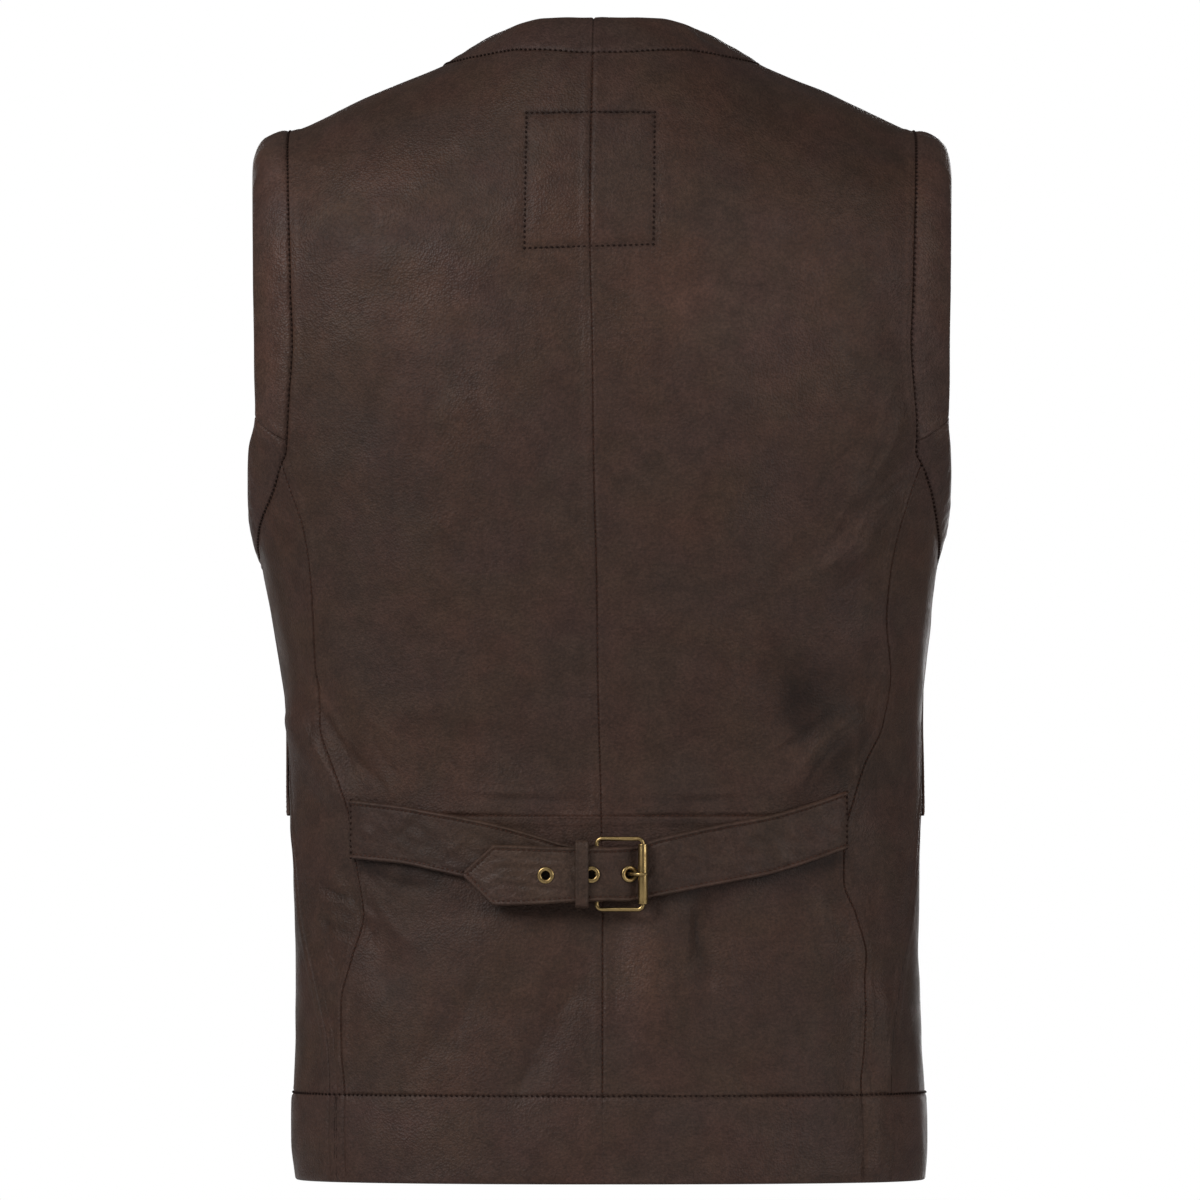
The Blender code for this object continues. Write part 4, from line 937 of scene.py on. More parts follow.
def wall(name, points, normals, look, edges, outer=0.0, inner=WALL, relief=0.0, swell=0.0, tone=0.0,
         inner_look=None):
    """Wall of leather on a grid; edges tells its low, high, left and right edge: seam, ridge or free."""
    gathered = (0.6 + 0.4 * ripple(points, GATHER_LENGTH, 21)) * ripple(points, PUCKER_LENGTH, 5)
    outer = np.broadcast_to(outer, relief.shape).copy()
    inner = np.broadcast_to(inner, relief.shape).copy()
    half = (outer + inner) / 2
    # painted shade in the hollows of the relief, painted highlight and rub on its ridges
    tone = tone + np.clip(relief * RELIEF_SHADE_AND_HIGHLIGHT, -RELIEF_SHADE_AND_HIGHLIGHT_MOST, RELIEF_SHADE_AND_HIGHLIGHT_MOST)
    lift = relief + swell
    for kind, distance in zip(edges, edge_distances(points)):
        if kind == "free":
            fall = round_off(distance, np.minimum(half, EDGE_RADIUS))
            outer -= fall
            inner -= fall
            lift *= soft_step(0, EDGE_CALM, distance)
            tone = tone + EDGE_RUB * bell(distance, EDGE_RADIUS, 1.6)
            continue
        lift *= soft_step(0, SEAM_CALM, distance)
        if kind == "ridge":
            line = bell(distance, 0.0, PLAIN_WIDTH)
            outer -= (PLAIN_DIP + ALLOWANCE_RISE) * line
            lift += ALLOWANCE_RISE * (1 - soft_step(ALLOWANCE - 0.8, ALLOWANCE + 1.2, distance))
            lift += RIDGE_PUCKER * gathered * bell(distance, 0.0, PUCKER_REACH)
            # painted highlight at the allowance's edge and beside the seam line
            tone = tone + ALLOWANCE_HIGHLIGHT * (bell(distance, ALLOWANCE - 0.6, 1.1) + bell(distance, 1.3, 0.7))
            # darker along the seam line
            tone = tone - RIDGE_LINE_DARKER * line
        else:
            line = bell(distance, 0.0, SEAM_WIDTH)
            outer -= SEAM_DIP * line
            lift += SEAM_PUCKER * gathered * bell(distance, 2.0, PUCKER_REACH)
            # darker along the seam line, with a painted highlight beside it
            tone = tone - SEAM_LINE_DARKER * line + SEAM_SIDE_HIGHLIGHT * bell(distance, 2.4, 1.0)
    top = points + normals * (outer + lift)[..., None]
    base = points - normals * (inner + np.maximum(-lift - 1.0, 0) - 0.6 * swell)[..., None]
    made = shell(name, top, base, look, tone, inner_look)
    return made, top


def sewn(made, node_name, grid):
    """Puts a finished shell on the body in place of its plain solid, and states its cut."""
    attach(made, "root")
    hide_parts(node_name)
    size, area = flat_size(grid)
    pieces.append((node_name, size, area))
    return made


def panel(node_name, side, grid, look, edges, lap=0.0, outer=0.0, inner=WALL, extra=None, tone=0.0):
    """Panel of the vest on a grid of turns and rises."""
    turn, rise = grid[..., 0], grid[..., 1]
    points, normals = skin(side, turn, rise, lap)
    relief, swell = fine_relief(points, turn, rise)
    # painted shade and painted highlight from the table
    tone = tone + painted_light_and_shade_tone(points, turn)
    if extra is not None:
        more, shade = extra(points, turn)
        relief = relief + more
        tone = tone + shade
    made, top = wall(node_name + "_leather", points, normals, look, edges, outer, inner, relief, swell, tone,
                     FLESH_SIDE)
    return sewn(made, node_name, top)


print("edge steps in millimetres:", EDGE_STEPS.tolist())

# %% [markdown]
# ## The stitched rectangle below the neck
# Four rows of stitching on the upper back hold a patch of stiffening inside. It shows only as a shallow
# groove with a slightly raised middle. It is part of the back's own relief, so both halves of the back share
# it.

# %% Relief of the stitched rectangle
# corners (across, height)
RECTANGLE = ((43.4, -8.8), (-30.2, -8.8), (-29.4, -84.6), (44.2, -86.8))
GROOVE_WIDTH = 1.6
GROOVE_DEPTH = 0.9
STITCHED_GROOVE_DARKER = 0.55
PATCH_RISE = 0.45
PATCH_PUCKER = 0.30


def line_distance(place, start, end):
    """Distance of points from a straight line between two places."""
    start, end = np.asarray(start, float), np.asarray(end, float)
    run = end - start
    u = np.clip((place - start) @ run / (run @ run), 0, 1)
    return np.linalg.norm(place - start - u[..., None] * run, axis=-1)


def rectangle_relief(points, turn):
    """Groove, puckers and raised middle of the stitched rectangle."""
    place = points[..., (0, 2)]
    behind = np.cos(turn) > 0
    distance = np.min([line_distance(place, RECTANGLE[k - 1], RECTANGLE[k]) for k in (1, 2, 3, 0)], 0)
    (x_high, z_high), (x_low, z_low) = RECTANGLE[0], RECTANGLE[2]
    inside = ((place[..., 0] < x_high) & (place[..., 0] > x_low) & (place[..., 1] < z_high)
              & (place[..., 1] > z_low) & behind)
    groove = bell(distance, 0.0, GROOVE_WIDTH) * behind
    puckers = PATCH_PUCKER * ripple(points, 7.2, 33) * bell(distance, 0.0, PUCKER_REACH) * behind
    raised = PATCH_RISE * soft_step(0.5, 7.0, distance) * inside
    # darker along the stitched groove
    return raised + puckers - GROOVE_DEPTH * groove, -STITCHED_GROOVE_DARKER * groove


print("corners of the rectangle:", RECTANGLE)

# %% [markdown]
# ## Back, sides and fronts
# The body is eight panels. The back is cut in four, with a centre seam, and a waist seam that the belt
# crosses near its ends. The two sides go from the princess seams to the side seams, and each front is one
# piece from the shoulder to the hem band. The back shows most, so its grid is the finest.

# %% Body panels
BACK_STEP = 1.8
SIDE_STEP = 3.0
FRONT_STEP = 3.0
ROWS = 96


def level(low_turn, high_turn, rise):
    turns = np.linspace(low_turn, high_turn, ROWS)
    return np.stack([turns, np.full(ROWS, rise)], -1)


def centre_back(side, low, high):
    rises = np.linspace(low, high, 4 * ROWS)
    return np.stack([centre_back_turn(side, rises), rises], -1)


# sizes of the panels across and up, which set how many rows and columns they get
BACK_WIDTH, BACK_HEIGHT, BELOW_WAIST = 172, 465, 160
SIDE_WIDTH, SIDE_HEIGHT = 118, 325
FRONT_WIDTH, FRONT_HEIGHT = 178, 590
hems = {}
for side, word in ((1, "left"), (-1, "right")):
    low_princess = princess_path(side, HEM_SEAM, WAIST_SEAM, SEAM_ROWS // 2)
    high_princess = princess_path(side, WAIST_SEAM, ARMHOLE[PRINCESS_TOP][0][2], SEAM_ROWS // 2)
    armhole_back = armhole_path(side, 0, PRINCESS_TOP, 0)[::-1]
    high_princess[-1] = armhole_back[0]
    neck = neck_back_path(side, 0)
    shoulder = shoulder_seam_path(side, 8 * STATION_STEPS)
    shoulder[-1] = armhole_back[-1]
    top = np.vstack([neck, shoulder[1:]])
    waist = level(centre_back_turn(side, WAIST_SEAM), low_princess[-1, 0], WAIST_SEAM)
    hem = level(centre_back_turn(side, HEM_SEAM), low_princess[0, 0], HEM_SEAM)
    edge = np.vstack([high_princess, armhole_back[1:]])
    grid = patch(waist, top, centre_back(side, WAIST_SEAM, neck[0, 1]), edge,
                 spread(BACK_WIDTH, BACK_STEP), spread(BACK_HEIGHT, BACK_STEP))
    panel(f"back_upper_{word}", side, grid, VEST_LEATHER, ("seam", "seam", "ridge", "ridge"),
          extra=rectangle_relief)
    grid = patch(hem, waist, centre_back(side, HEM_SEAM, WAIST_SEAM), low_princess,
                 spread(BACK_WIDTH, BACK_STEP), spread(BELOW_WAIST, BACK_STEP))
    panel(f"back_lower_{word}", side, grid, VEST_LEATHER, ("seam", "ridge", "ridge", "ridge"))

    under_arm = armhole_path(side, PRINCESS_TOP, SIDE_SEAM_TOP, 0)
    princess = np.vstack([low_princess, high_princess[1:]])
    side_seam = side_seam_path(HEM_SEAM, ARMHOLE[SIDE_SEAM_TOP][0][2], SEAM_ROWS)
    side_seam[-1] = under_arm[-1]
    side_hem = level(princess[0, 0], side_seam[0, 0], HEM_SEAM)
    grid = patch(side_hem, under_arm, princess, side_seam, spread(SIDE_WIDTH, SIDE_STEP),
                 spread(SIDE_HEIGHT, SIDE_STEP))
    panel(f"side_panel_{word}", side, grid, VEST_LEATHER, ("seam", "seam", "ridge", "ridge"))

    lap = LAP if side > 0 else 0.0
    armhole_front = armhole_path(side, SIDE_SEAM_TOP, len(ARMHOLE) - 1, 0)
    outer_edge = np.vstack([side_seam, armhole_front[1:]])
    inner_edge = np.vstack([front_edge_path(side, HEM_SEAM, SEAM_ROWS, 0), v_neck_path(side, 0)[1:]])
    front_top = to_front(shoulder)[::-1]
    front_top[0], front_top[-1] = outer_edge[-1], inner_edge[-1]
    front_hem = level(side_seam[0, 0], inner_edge[0, 0], HEM_SEAM)
    grid = patch(front_hem, front_top, outer_edge, inner_edge, spread(FRONT_WIDTH, FRONT_STEP),
                 spread(FRONT_HEIGHT, FRONT_STEP))
    panel(f"front_{word}", side, grid, VEST_LEATHER, ("seam", "seam", "ridge", "seam"),
          lap=lap)
    hems[side] = (("back", hem, 0.0), ("side", side_hem, 0.0), ("front", front_hem, lap))
print("triangles so far:", sum(triangles.values()))

# %% [markdown]
# ## The hem band
# A doubled strip goes round the bottom, cut to match the panels above it. It is thicker than the body, so it
# stands a little proud of it, and its lower edge is a rolled fold.

# %% Hem band
HEM_STEP = 3.0
HEM_HEIGHT = HEM_SEAM - HEM_EDGE
for side, word in ((1, "left"), (-1, "right")):
    for stretch, line, raised in hems[side]:
        up = spread(HEM_HEIGHT, HEM_STEP)
        width = np.linalg.norm(np.diff(form(side, line[:, 0], line[:, 1]), axis=0), axis=-1).sum()
        along = resample(line, spread(width, HEM_STEP))
        grid = np.stack(np.meshgrid(along[:, 0], HEM_EDGE + up * HEM_HEIGHT), -1)
        proud = flow((0, 0.1, 0.5, 0.9, 1), (0.2, 0.6, 0.7, 0.6, 0.3), up)[:, None]
        panel(f"hem_band_{stretch}_{word}", side, grid, BAND_LEATHER,
              ("free", "seam", "seam", "seam"), lap=raised, outer=proud, inner=BAND_WALL)
print("stretches of hem band:", 2 * len(hems[1]))

# %% [markdown]
# ## The padded bands
# The armholes and the neck are bound with a folded strip over a soft filling, and the neck's strip runs on
# down the V and the centre front. A band is a grid along its seam. Its cross-section rises steeply out of the
# seam, swells, and rolls over at the free edge, and the stitching pulls it in here and there.

# %% Armhole, neck and front bands
BAND_STEP = 2.2
ARM_WIDTH = 25
NECK_WIDTH = 28
BAND_INSIDE = 2.7
# height of the padding at shares of a band's width, from its seam to its free edge
ROLL_SHARES = (0.0, 0.05, 0.14, 0.32, 0.55, 0.75, 0.9, 1.0)
ARM_ROLL = (0.1, 0.9, 1.7, 2.3, 2.4, 1.9, 1.0, 0.0)
NECK_ROLL = (0.1, 0.6, 1.0, 1.2, 1.2, 1.0, 0.5, 0.0)


def band(node_name, side, seam, edge, roll, width, edges, lap=0.0):
    """Padded band from its seam to its free edge."""
    points = form(side, seam[:, 0], seam[:, 1])
    length = np.linalg.norm(np.diff(points, axis=0), axis=-1).sum()
    across = spread(width, BAND_STEP)
    grid = across_band(seam, edge, across, spread(length, BAND_STEP))
    bulge = flow(ROLL_SHARES, roll, across)[None]

    def quilting(points, turn):
        return 0.26 * ripple(points, 13.0, 17) * np.sin(math.pi * across)[None], 0.0

    panel(node_name, side, grid, BAND_LEATHER, edges, lap=lap, outer=bulge,
          inner=BAND_INSIDE, extra=quilting)


TOP_SEWN = ("seam", "ridge", "seam", "free")
FOOT_PLAIN = ("ridge", "seam", "seam", "free")
FOOT_FREE = ("free", "seam", "seam", "free")
for side, word in ((1, "left"), (-1, "right")):
    for stretch, first, last, edges in (("back", 0, BAND_JOINT, TOP_SEWN),
                                        ("front", BAND_JOINT, len(ARMHOLE) - 1, FOOT_PLAIN)):
        band(f"armhole_band_{stretch}_{word}", side, armhole_path(side, first, last, 0),
             armhole_path(side, first, last, 1), ARM_ROLL, ARM_WIDTH, edges)
    band(f"neck_band_{word}", side, neck_back_path(side, 0), neck_back_path(side, 1), NECK_ROLL, NECK_WIDTH,
         FOOT_PLAIN)
    foot = np.linspace(HEM_EDGE, HEM_SEAM, STATION_STEPS)[:-1]
    paths = []
    for which in (0, 1):
        straight = front_edge_path(side, HEM_SEAM, SEAM_ROWS, which)
        hem_part = np.stack([np.full(len(foot), straight[0, 0]), foot], -1)
        paths.append(np.vstack([hem_part, straight, v_neck_path(side, which)[1:]]))
    band(f"front_band_{word}", side, *paths, NECK_ROLL, NECK_WIDTH, FOOT_FREE, lap=LAP if side > 0 else 0.0)
print("triangles so far:", sum(triangles.values()))

# %% [markdown]
# ## Pocket welts
# Each front has one slanted welt, a strip folded double and sewn down, just in front of the side seam.

# %% Welts
# both ends of its middle line: turn in degrees, height
WELT_HIGH, WELT_LOW = (110.5, -292), (94.0, -412)
WELT_WIDTH = 24.0
WELT_LIFT = 0.3
WELT_THICK = 2.3
# painted light: the whole welt is made paler where it lies in shade at the sides
WELT_PAINTED_LIGHT = 0.35
WELT_HEIGHT = WELT_HIGH[1] - WELT_LOW[1]


def welt_grid(across, up):
    """Turns and rises of a welt, from shares of its width and its height."""
    reach = WELT_WIDTH / ring(WELT_LOW[1])[3]
    middles = np.radians(WELT_LOW[0] + up * (WELT_HIGH[0] - WELT_LOW[0]))
    rises = WELT_LOW[1] + up * WELT_HEIGHT
    turns = middles[:, None] + (across[None] - 0.5) * reach
    return np.stack([turns, np.broadcast_to(rises[:, None], turns.shape)], -1)


for side, word in ((1, "left"), (-1, "right")):
    grid = welt_grid(spread(WELT_WIDTH, 2.0), spread(WELT_HEIGHT, 3.0))
    # painted light makes the whole welt paler
    panel(f"pocket_welt_{word}", side, grid, BAND_LEATHER, ("free",) * 4,
          outer=WELT_LIFT + WELT_THICK, inner=-WELT_LIFT, tone=WELT_PAINTED_LIGHT)
print(f"welts: {WELT_WIDTH:.0f} mm wide, {WELT_HEIGHT} mm from foot to head")

# %% [markdown]
# ## The half-belt
# Two straps are caught in the princess seams. The left one wraps the heel bar of the buckle and is sewn back on
# itself inside the keeper. The right one passes under the roller and through the frame, and its pointed tab
# lies over the left strap. Each is a strap of doubled leather with turned edges, so its section has a soft roll
# at the edge and a stitching groove just inside it. A strap is one grid, swept along the way it lies.

# %% Straps
STRAP_THICK = 2.2
LIE_GAP = 0.3
BELT_STITCH_INSET = 2.7
# height of the rolled edge, its place from the edge and its width, then depth and width of the stitch groove
ROLL_HEIGHT = 0.85
ROLL_PLACE = 1.2
ROLL_WIDTH = 0.9
STITCH_DEPTH = 0.45
STITCH_WIDTH = 0.6
# tone of the roll, painted highlight and rub; darker in the groove; then of the whole right strap, of its tab's
# end, and painted shade behind the eyelets
ROLL_HIGHLIGHT_AND_RUB = 0.65
STRAP_GROOVE_DARKER = 0.6
STRAP_RUB = 0.22
TAB_RUB = 0.5
EYELET_SHADE = 1.6
EYELET_SHADE_SIZE = 4.0
# distance across, height of the middle, half height, how far the middle stands off the back
BELT_LEFT = np.array([
    (144.5, -418.8, 17.0, 1.7), (130, -420.4, 16.8, 2.4), (113.6, -422.2, 16.6, 3.2), (98, -425.2, 16.8, 4.0),
    (81.7, -428.4, 17.2, 4.8), (64, -432.0, 17.2, 5.9), (46, -436.4, 17.0, 7.1), (32, -440.2, 16.6, 8.2),
    (22, -442.8, 16.2, 8.8), (12, -444.2, 16.0, 9.0)])
BELT_RIGHT = np.array([
    (79.4, -444.3, 1.2, 8.8), (70.5, -444.5, 9.6, 9.5), (61.8, -444.8, 17.4, 10.2), (48, -444.9, 17.2, 11.1),
    (34, -444.9, 16.6, 11.9), (22, -444.7, 16.0, 12.4), (10, -444.5, 15.6, 12.5), (3, -444.4, 15.4, 12.2),
    (-4, -444.3, 15.4, 10.9), (-10, -444.3, 15.6, 8.8), (-15.4, -444.2, 15.8, 6.9), (-20, -443.6, 15.8, 5.2),
    (-26.3, -441.8, 16.2, 4.5), (-36, -439.6, 16.8, 4.3), (-57, -435.2, 17.1, 4.4), (-76, -431.6, 17.2, 4.0),
    (-94, -428.2, 17.1, 3.5), (-110, -423.8, 16.9, 2.9), (-123, -419.6, 16.8, 2.3),
    (-141.5, -413.0, 16.6, 1.7)])
TAB_SHOULDER = 61.8
TAB_STEPS = 17
EYELET_PLACES = (32.0, 6.0, -15.4)
STRAP_HOLE = 3.3
BUCKLE_HEIGHT = -444.2
HEEL_PLACE = (2.9, 6.4)
ROLLER_PLACE = (-23.4, 10.8)
WIRE = 1.2
FRAME_HALF_HEIGHT = 20.2
UPRIGHT = np.array((0.0, 0.0, 1.0))


def back_face(x, height, reach=0.0):
    """Outer face of the back at x, as far back as it comes within a reach above and below a height."""
    side = 1 if x >= 0 else -1
    heights = height + reach * np.linspace(-1, 1, 7)
    points, _ = skin(side, turn_at_x(side, np.full(7, x), heights), heights)
    return float(points[:, 1].max())


def belt_places(table, stations):
    """Middle points of a strap at stations across, and its half heights, read smoothly from its table."""
    coarse = table[:, 0]
    faces = [back_face(x, *(float(flow(table[:, 0], table[:, c], x)) for c in (1, 2))) for x in coarse]
    depth = flow(coarse, np.array(faces) + table[:, 3], stations)
    height, half = flow(coarse, table[:, 1], stations), flow(coarse, table[:, 2], stations)
    return np.stack([stations, depth, height], -1), half


def buckle_point(place, height=BUCKLE_HEIGHT):
    """Point of the buckle from its distance across and its stand-off from the back at the heel bar."""
    return np.array((place[0], back_face(HEEL_PLACE[0], BUCKLE_HEIGHT, FRAME_HALF_HEIGHT) + place[1], height))


def strap(name, middles, halves, edges, wrinkle_seed, creases=(), behind_tab=False):
    """Strap along a path seen from above, standing upright; returns it with its outer face and normals."""
    run = np.gradient(middles[:, :2], axis=0)
    run /= np.linalg.norm(run, axis=-1, keepdims=True)
    across = np.stack([run[:, 1], -run[:, 0], np.zeros(len(run))], -1)
    shares = spread(2 * halves.max(), 1.1) * 2 - 1
    points = middles[:, None] + UPRIGHT * (halves[:, None] * shares[None])[..., None]
    normals = np.broadcast_to(across[:, None], points.shape)
    passed = np.insert(np.cumsum(np.linalg.norm(np.diff(middles, axis=0), axis=-1)), 0, 0.0)
    slant = np.cos(np.arctan(np.gradient(halves, passed)))
    from_edge = (halves * slant)[:, None] * (1 - np.abs(shares))[None]
    roll = ROLL_HEIGHT * bell(from_edge, ROLL_PLACE, ROLL_WIDTH)
    groove = bell(from_edge, BELT_STITCH_INSET, STITCH_WIDTH)
    inside = soft_step(2.0, 5.0, from_edge)
    relief = inside * (0.24 * ripple(points * (0.45, 1.0, 1.0), 6.5, wrinkle_seed)
                       + 0.20 * ripple(points, 21.0, wrinkle_seed + 1))
    relief += 0.14 * ripple(points * (1.0, 1.0, 0.2), 4.6, wrinkle_seed + 2) * bell(from_edge, 4.0, 2.0)
    place = points[..., (0, 2)]
    for x0, z0, x1, z1, width, height in creases:
        relief += height * bell(line_distance(place, (x0, z0), (x1, z1)), 0.0, width)
    # painted highlight and rub on the rolled edges, darker along the stitch groove
    tone = ROLL_HIGHLIGHT_AND_RUB * roll - STRAP_GROOVE_DARKER * groove
    if behind_tab:
        for x in EYELET_PLACES[:2]:
            away = np.hypot(place[..., 0] - x, place[..., 1] - BUCKLE_HEIGHT)
            tone = tone - EYELET_SHADE * np.exp(-(away / EYELET_SHADE_SIZE)**4)
    else:
        tone = tone + STRAP_RUB + TAB_RUB * soft_step(0, 30, points[..., 0])
    outer = STRAP_THICK / 2 + roll - STITCH_DEPTH * groove
    made = wall(name, points, normals, BELT_LEATHER, edges, outer, STRAP_THICK / 2, relief, tone=tone,
                inner_look=BELT_LEATHER)
    return made, points, normals


# two ends (across, height), half width, height
LEFT_CREASES = (
    (120, -426, 104, -412, 1.2, -0.35), (92, -436, 74, -421, 1.3, 0.3), (134, -428, 124, -410, 1.2, 0.3))
RIGHT_CREASES = (
    (-30, -446, -44, -428, 1.3, 0.40), (-38, -450, -54, -430, 1.2, -0.35), (-48, -448, -62, -430, 1.4, 0.3),
    (-60, -444, -72, -424, 1.3, -0.3), (62, -437.6, 20, -438.6, 1.3, 0.50),
    (60, -440.4, 24, -441, 1.0, -0.40), (62, -446, 24, -451, 1.5, 0.45), (58, -450, 20, -453, 1.1, -0.45),
    (20, -436, 13, -452, 1.2, -0.35), (-118, -430, -104, -414, 1.3, 0.3), (-24, -452, -36, -434, 1.0, 0.35),
    (-70, -440, -88, -420, 1.2, 0.3))
# how deep the seam holds a strap's end, and over what length it comes out
SEWN_SINK = 1.9
SEWN_REACH = 6.0
TAIL_LENGTH = 25
steps = np.arange(BELT_LEFT[0, 0], BELT_LEFT[-1, 0], -1.4)
left_middles, left_halves = belt_places(BELT_LEFT, steps)
left_middles[:, 1] -= SEWN_SINK * (1 - soft_step(0, SEWN_REACH, BELT_LEFT[0, 0] - steps))
heel = buckle_point(HEEL_PLACE)
turn_radius = WIRE + LIE_GAP + STRAP_THICK / 2
wrap = [heel + turn_radius * np.array((math.cos(a), math.sin(a), 0.0))
        for a in np.radians(np.arange(90, 271, 15))]
wrap += [heel + np.array((across, -turn_radius + across * 0.03, 0.0)) for across in range(2, TAIL_LENGTH, 2)]
approach = left_middles[-1] + np.linspace(0, 1, 7)[1:-1, None] * (wrap[0] - left_middles[-1])
left_middles = np.vstack([left_middles, approach, wrap])
left_halves = np.concatenate([left_halves, np.full(len(left_middles) - len(left_halves), left_halves[-1])])
(belt_left, left_top), left_points, left_normals = strap("belt_left_strap", left_middles, left_halves,
                                                         ("seam", "free", "free", "free"), 41, LEFT_CREASES,
                                                         behind_tab=True)
steps = np.concatenate([np.linspace(BELT_RIGHT[0, 0], TAB_SHOULDER, TAB_STEPS + 1)[:-1],
                        np.arange(TAB_SHOULDER, BELT_RIGHT[-1, 0], -1.1)])
right_middles, right_halves = belt_places(BELT_RIGHT, steps)
right_middles[:, 1] -= SEWN_SINK * (1 - soft_step(0, SEWN_REACH, steps - BELT_RIGHT[-1, 0]))
tip_share = (BELT_RIGHT[0, 0] - steps) / (BELT_RIGHT[0, 0] - TAB_SHOULDER)
tip_half = BELT_RIGHT[0, 2] + (BELT_RIGHT[2, 2] - BELT_RIGHT[0, 2]) * np.clip(tip_share, 0, 1)
right_halves = np.where(tip_share < 1, tip_half, right_halves)
(belt_right, right_top), right_points, right_normals = strap("belt_right_strap", right_middles, right_halves,
                                                             ("free", "seam", "free", "free"), 51,
                                                             RIGHT_CREASES)


def right_strap_at(x):
    """Middle of the right strap at x, and the direction square to its face."""
    k = int(np.argmin(np.abs(right_middles[:, 0] - x)))
    run = right_middles[k + 1] - right_middles[k - 1]
    axis = np.array((-run[1], run[0], 0.0))
    axis *= np.sign(axis[1]) / np.linalg.norm(axis)
    centre = np.array([np.interp(x, right_middles[::-1, 0], right_middles[::-1, c]) for c in range(3)])
    return centre, axis


print(f"tab tip at {right_middles[0, 0]:.1f} mm, straps {2 * right_halves.max():.1f} mm wide")

# %% [markdown]
# ## Turned and drawn metal
# Eyelets, studs and the roller are turned shapes: a profile of radius and height swept round an axis. The
# frame and the prong are wire: a circle swept along a path. Two small makers cover all of them, with enough
# sides for the round edges to catch the light.

# %% Makers for turned pieces and for wire
def closed_mesh(name, vertices, faces, look, smooth_angle=38):
    """Mesh object from points in millimetres with its faces turned outwards and its sharp edges kept."""
    mesh = bpy.data.meshes.new(name)
    mesh.from_pydata((np.asarray(vertices) * MM).tolist(), [], [[int(v) for v in face] for face in faces])
    corners = np.array([vertex.co for vertex in mesh.vertices])
    volume = 0.0
    for face in faces:
        for k in range(1, len(face) - 1):
            volume += corners[face[0]] @ np.cross(corners[face[k]], corners[face[k + 1]])
    if volume < 0:
        mesh.flip_normals()
    mesh.shade_smooth()
    mesh.set_sharp_from_angle(angle=math.radians(smooth_angle))
    mesh.materials.append(look)
    made = bpy.data.objects.new(name, mesh)
    bpy.context.scene.collection.objects.link(made)
    triangles[name] = sum(len(face) - 2 for face in faces)
    return made


def turned(name, profile, centre, axis, look, segments=40):
    """Turned piece; its profile of (radius, height) is a closed outline, or starts and ends on the axis."""
    axis = np.asarray(axis, float) / np.linalg.norm(axis)
    first = np.cross(axis, (0.31, 0.11, 0.94))
    first /= np.linalg.norm(first)
    second = np.cross(axis, first)
    vertices, rings, faces = [], [], []
    for radius, height in profile:
        start = len(vertices)
        count = 1 if radius == 0 else segments
        rings.append([start + k % count for k in range(segments)])
        for angle in np.arange(count) / segments * 2 * math.pi:
            spoke = first * math.cos(angle) + second * math.sin(angle)
            vertices.append(centre + radius * spoke + axis * height)
    pairs = list(zip(rings, rings[1:]))
    if profile[0][0] > 0:
        pairs.append((rings[-1], rings[0]))
    for low, high in pairs:
        for k in range(segments):
            n = (k + 1) % segments
            face = [low[k], low[n], high[n], high[k]]
            face = [v for i, v in enumerate(face) if v not in face[:i]]
            if len(face) > 2:
                faces.append(face)
    return closed_mesh(name, vertices, faces, look)


def drawn_wire(name, path, radii, look, sides=20, closed=False, flatten=1.0):
    """Round wire along a path; its radius may change, and flatten squeezes it front to back."""
    path = np.asarray(path, float)
    if closed:
        run = np.roll(path, -1, 0) - np.roll(path, 1, 0)
        across = np.cross(run, (0.0, 1.0, 0.001))
    else:
        run = np.gradient(path, axis=0)
        across = np.cross(run, (0.013, 0.017, 1.0))
    run /= np.linalg.norm(run, axis=-1, keepdims=True)
    across /= np.linalg.norm(across, axis=-1, keepdims=True)
    second = np.cross(run, across) * flatten
    radii = np.broadcast_to(radii, len(path))[:, None, None]
    angles = (np.arange(sides) / sides * 2 * math.pi)[None, :, None]
    rings = path[:, None] + radii * (across[:, None] * np.cos(angles) + second[:, None] * np.sin(angles))
    count = len(path)
    faces = []
    for i in range(count if closed else count - 1):
        after = (i + 1) % count
        for j in range(sides):
            n = (j + 1) % sides
            faces.append((i * sides + j, i * sides + n, after * sides + n, after * sides + j))
    if not closed:
        faces.append(list(range(sides)))
        faces.append([(count - 1) * sides + j for j in reversed(range(sides))])
    return closed_mesh(name, rings.reshape(-1, 3), faces, look, 50)


def arc(centre, radius, first, second, start, end, steps):
    """Points on an arc between two angles in degrees, in the plane of two directions."""
    angles = np.radians(np.linspace(start, end, steps))[:, None]
    return centre + radius * (first * np.cos(angles) + second * np.sin(angles))


def rounded_oblong(middle, first, second, half_first, half_second, radius, corner_steps, spacing):
    """Closed path round an oblong with rounded corners, in the plane of two directions."""
    turns = []
    for way, up, start in ((1, 1, 0), (-1, 1, 90), (-1, -1, 180), (1, -1, 270)):
        corner = middle + first * (way * (half_first - radius)) + second * (up * (half_second - radius))
        turns += list(arc(corner, radius, first, second, start, start + 90, corner_steps))
    path = []
    for k, point in enumerate(turns):
        following = turns[(k + 1) % len(turns)]
        count = max(int(np.linalg.norm(following - point) / spacing), 1)
        path += [point + (following - point) * step / count for step in range(count)]
    return np.array(path)


print("makers: turned, drawn_wire, arc, rounded_oblong")

# %% [markdown]
# ## The roller buckle
# The frame is one loop of brass wire. Its far side carries a roller, a tube that lets the strap slide, and
# its near side is the heel bar, where the left strap and the prong turn. The prong's tip rests on the roller.

# %% Buckle and eyelets
FRAME_CORNER = 3.0
ROLLER_RADIUS = 2.7
ROLLER_HALF = 17.2
ROLLER_EDGE = 0.45
PRONG_WIRE = 1.05
PRONG_TIP = 0.72
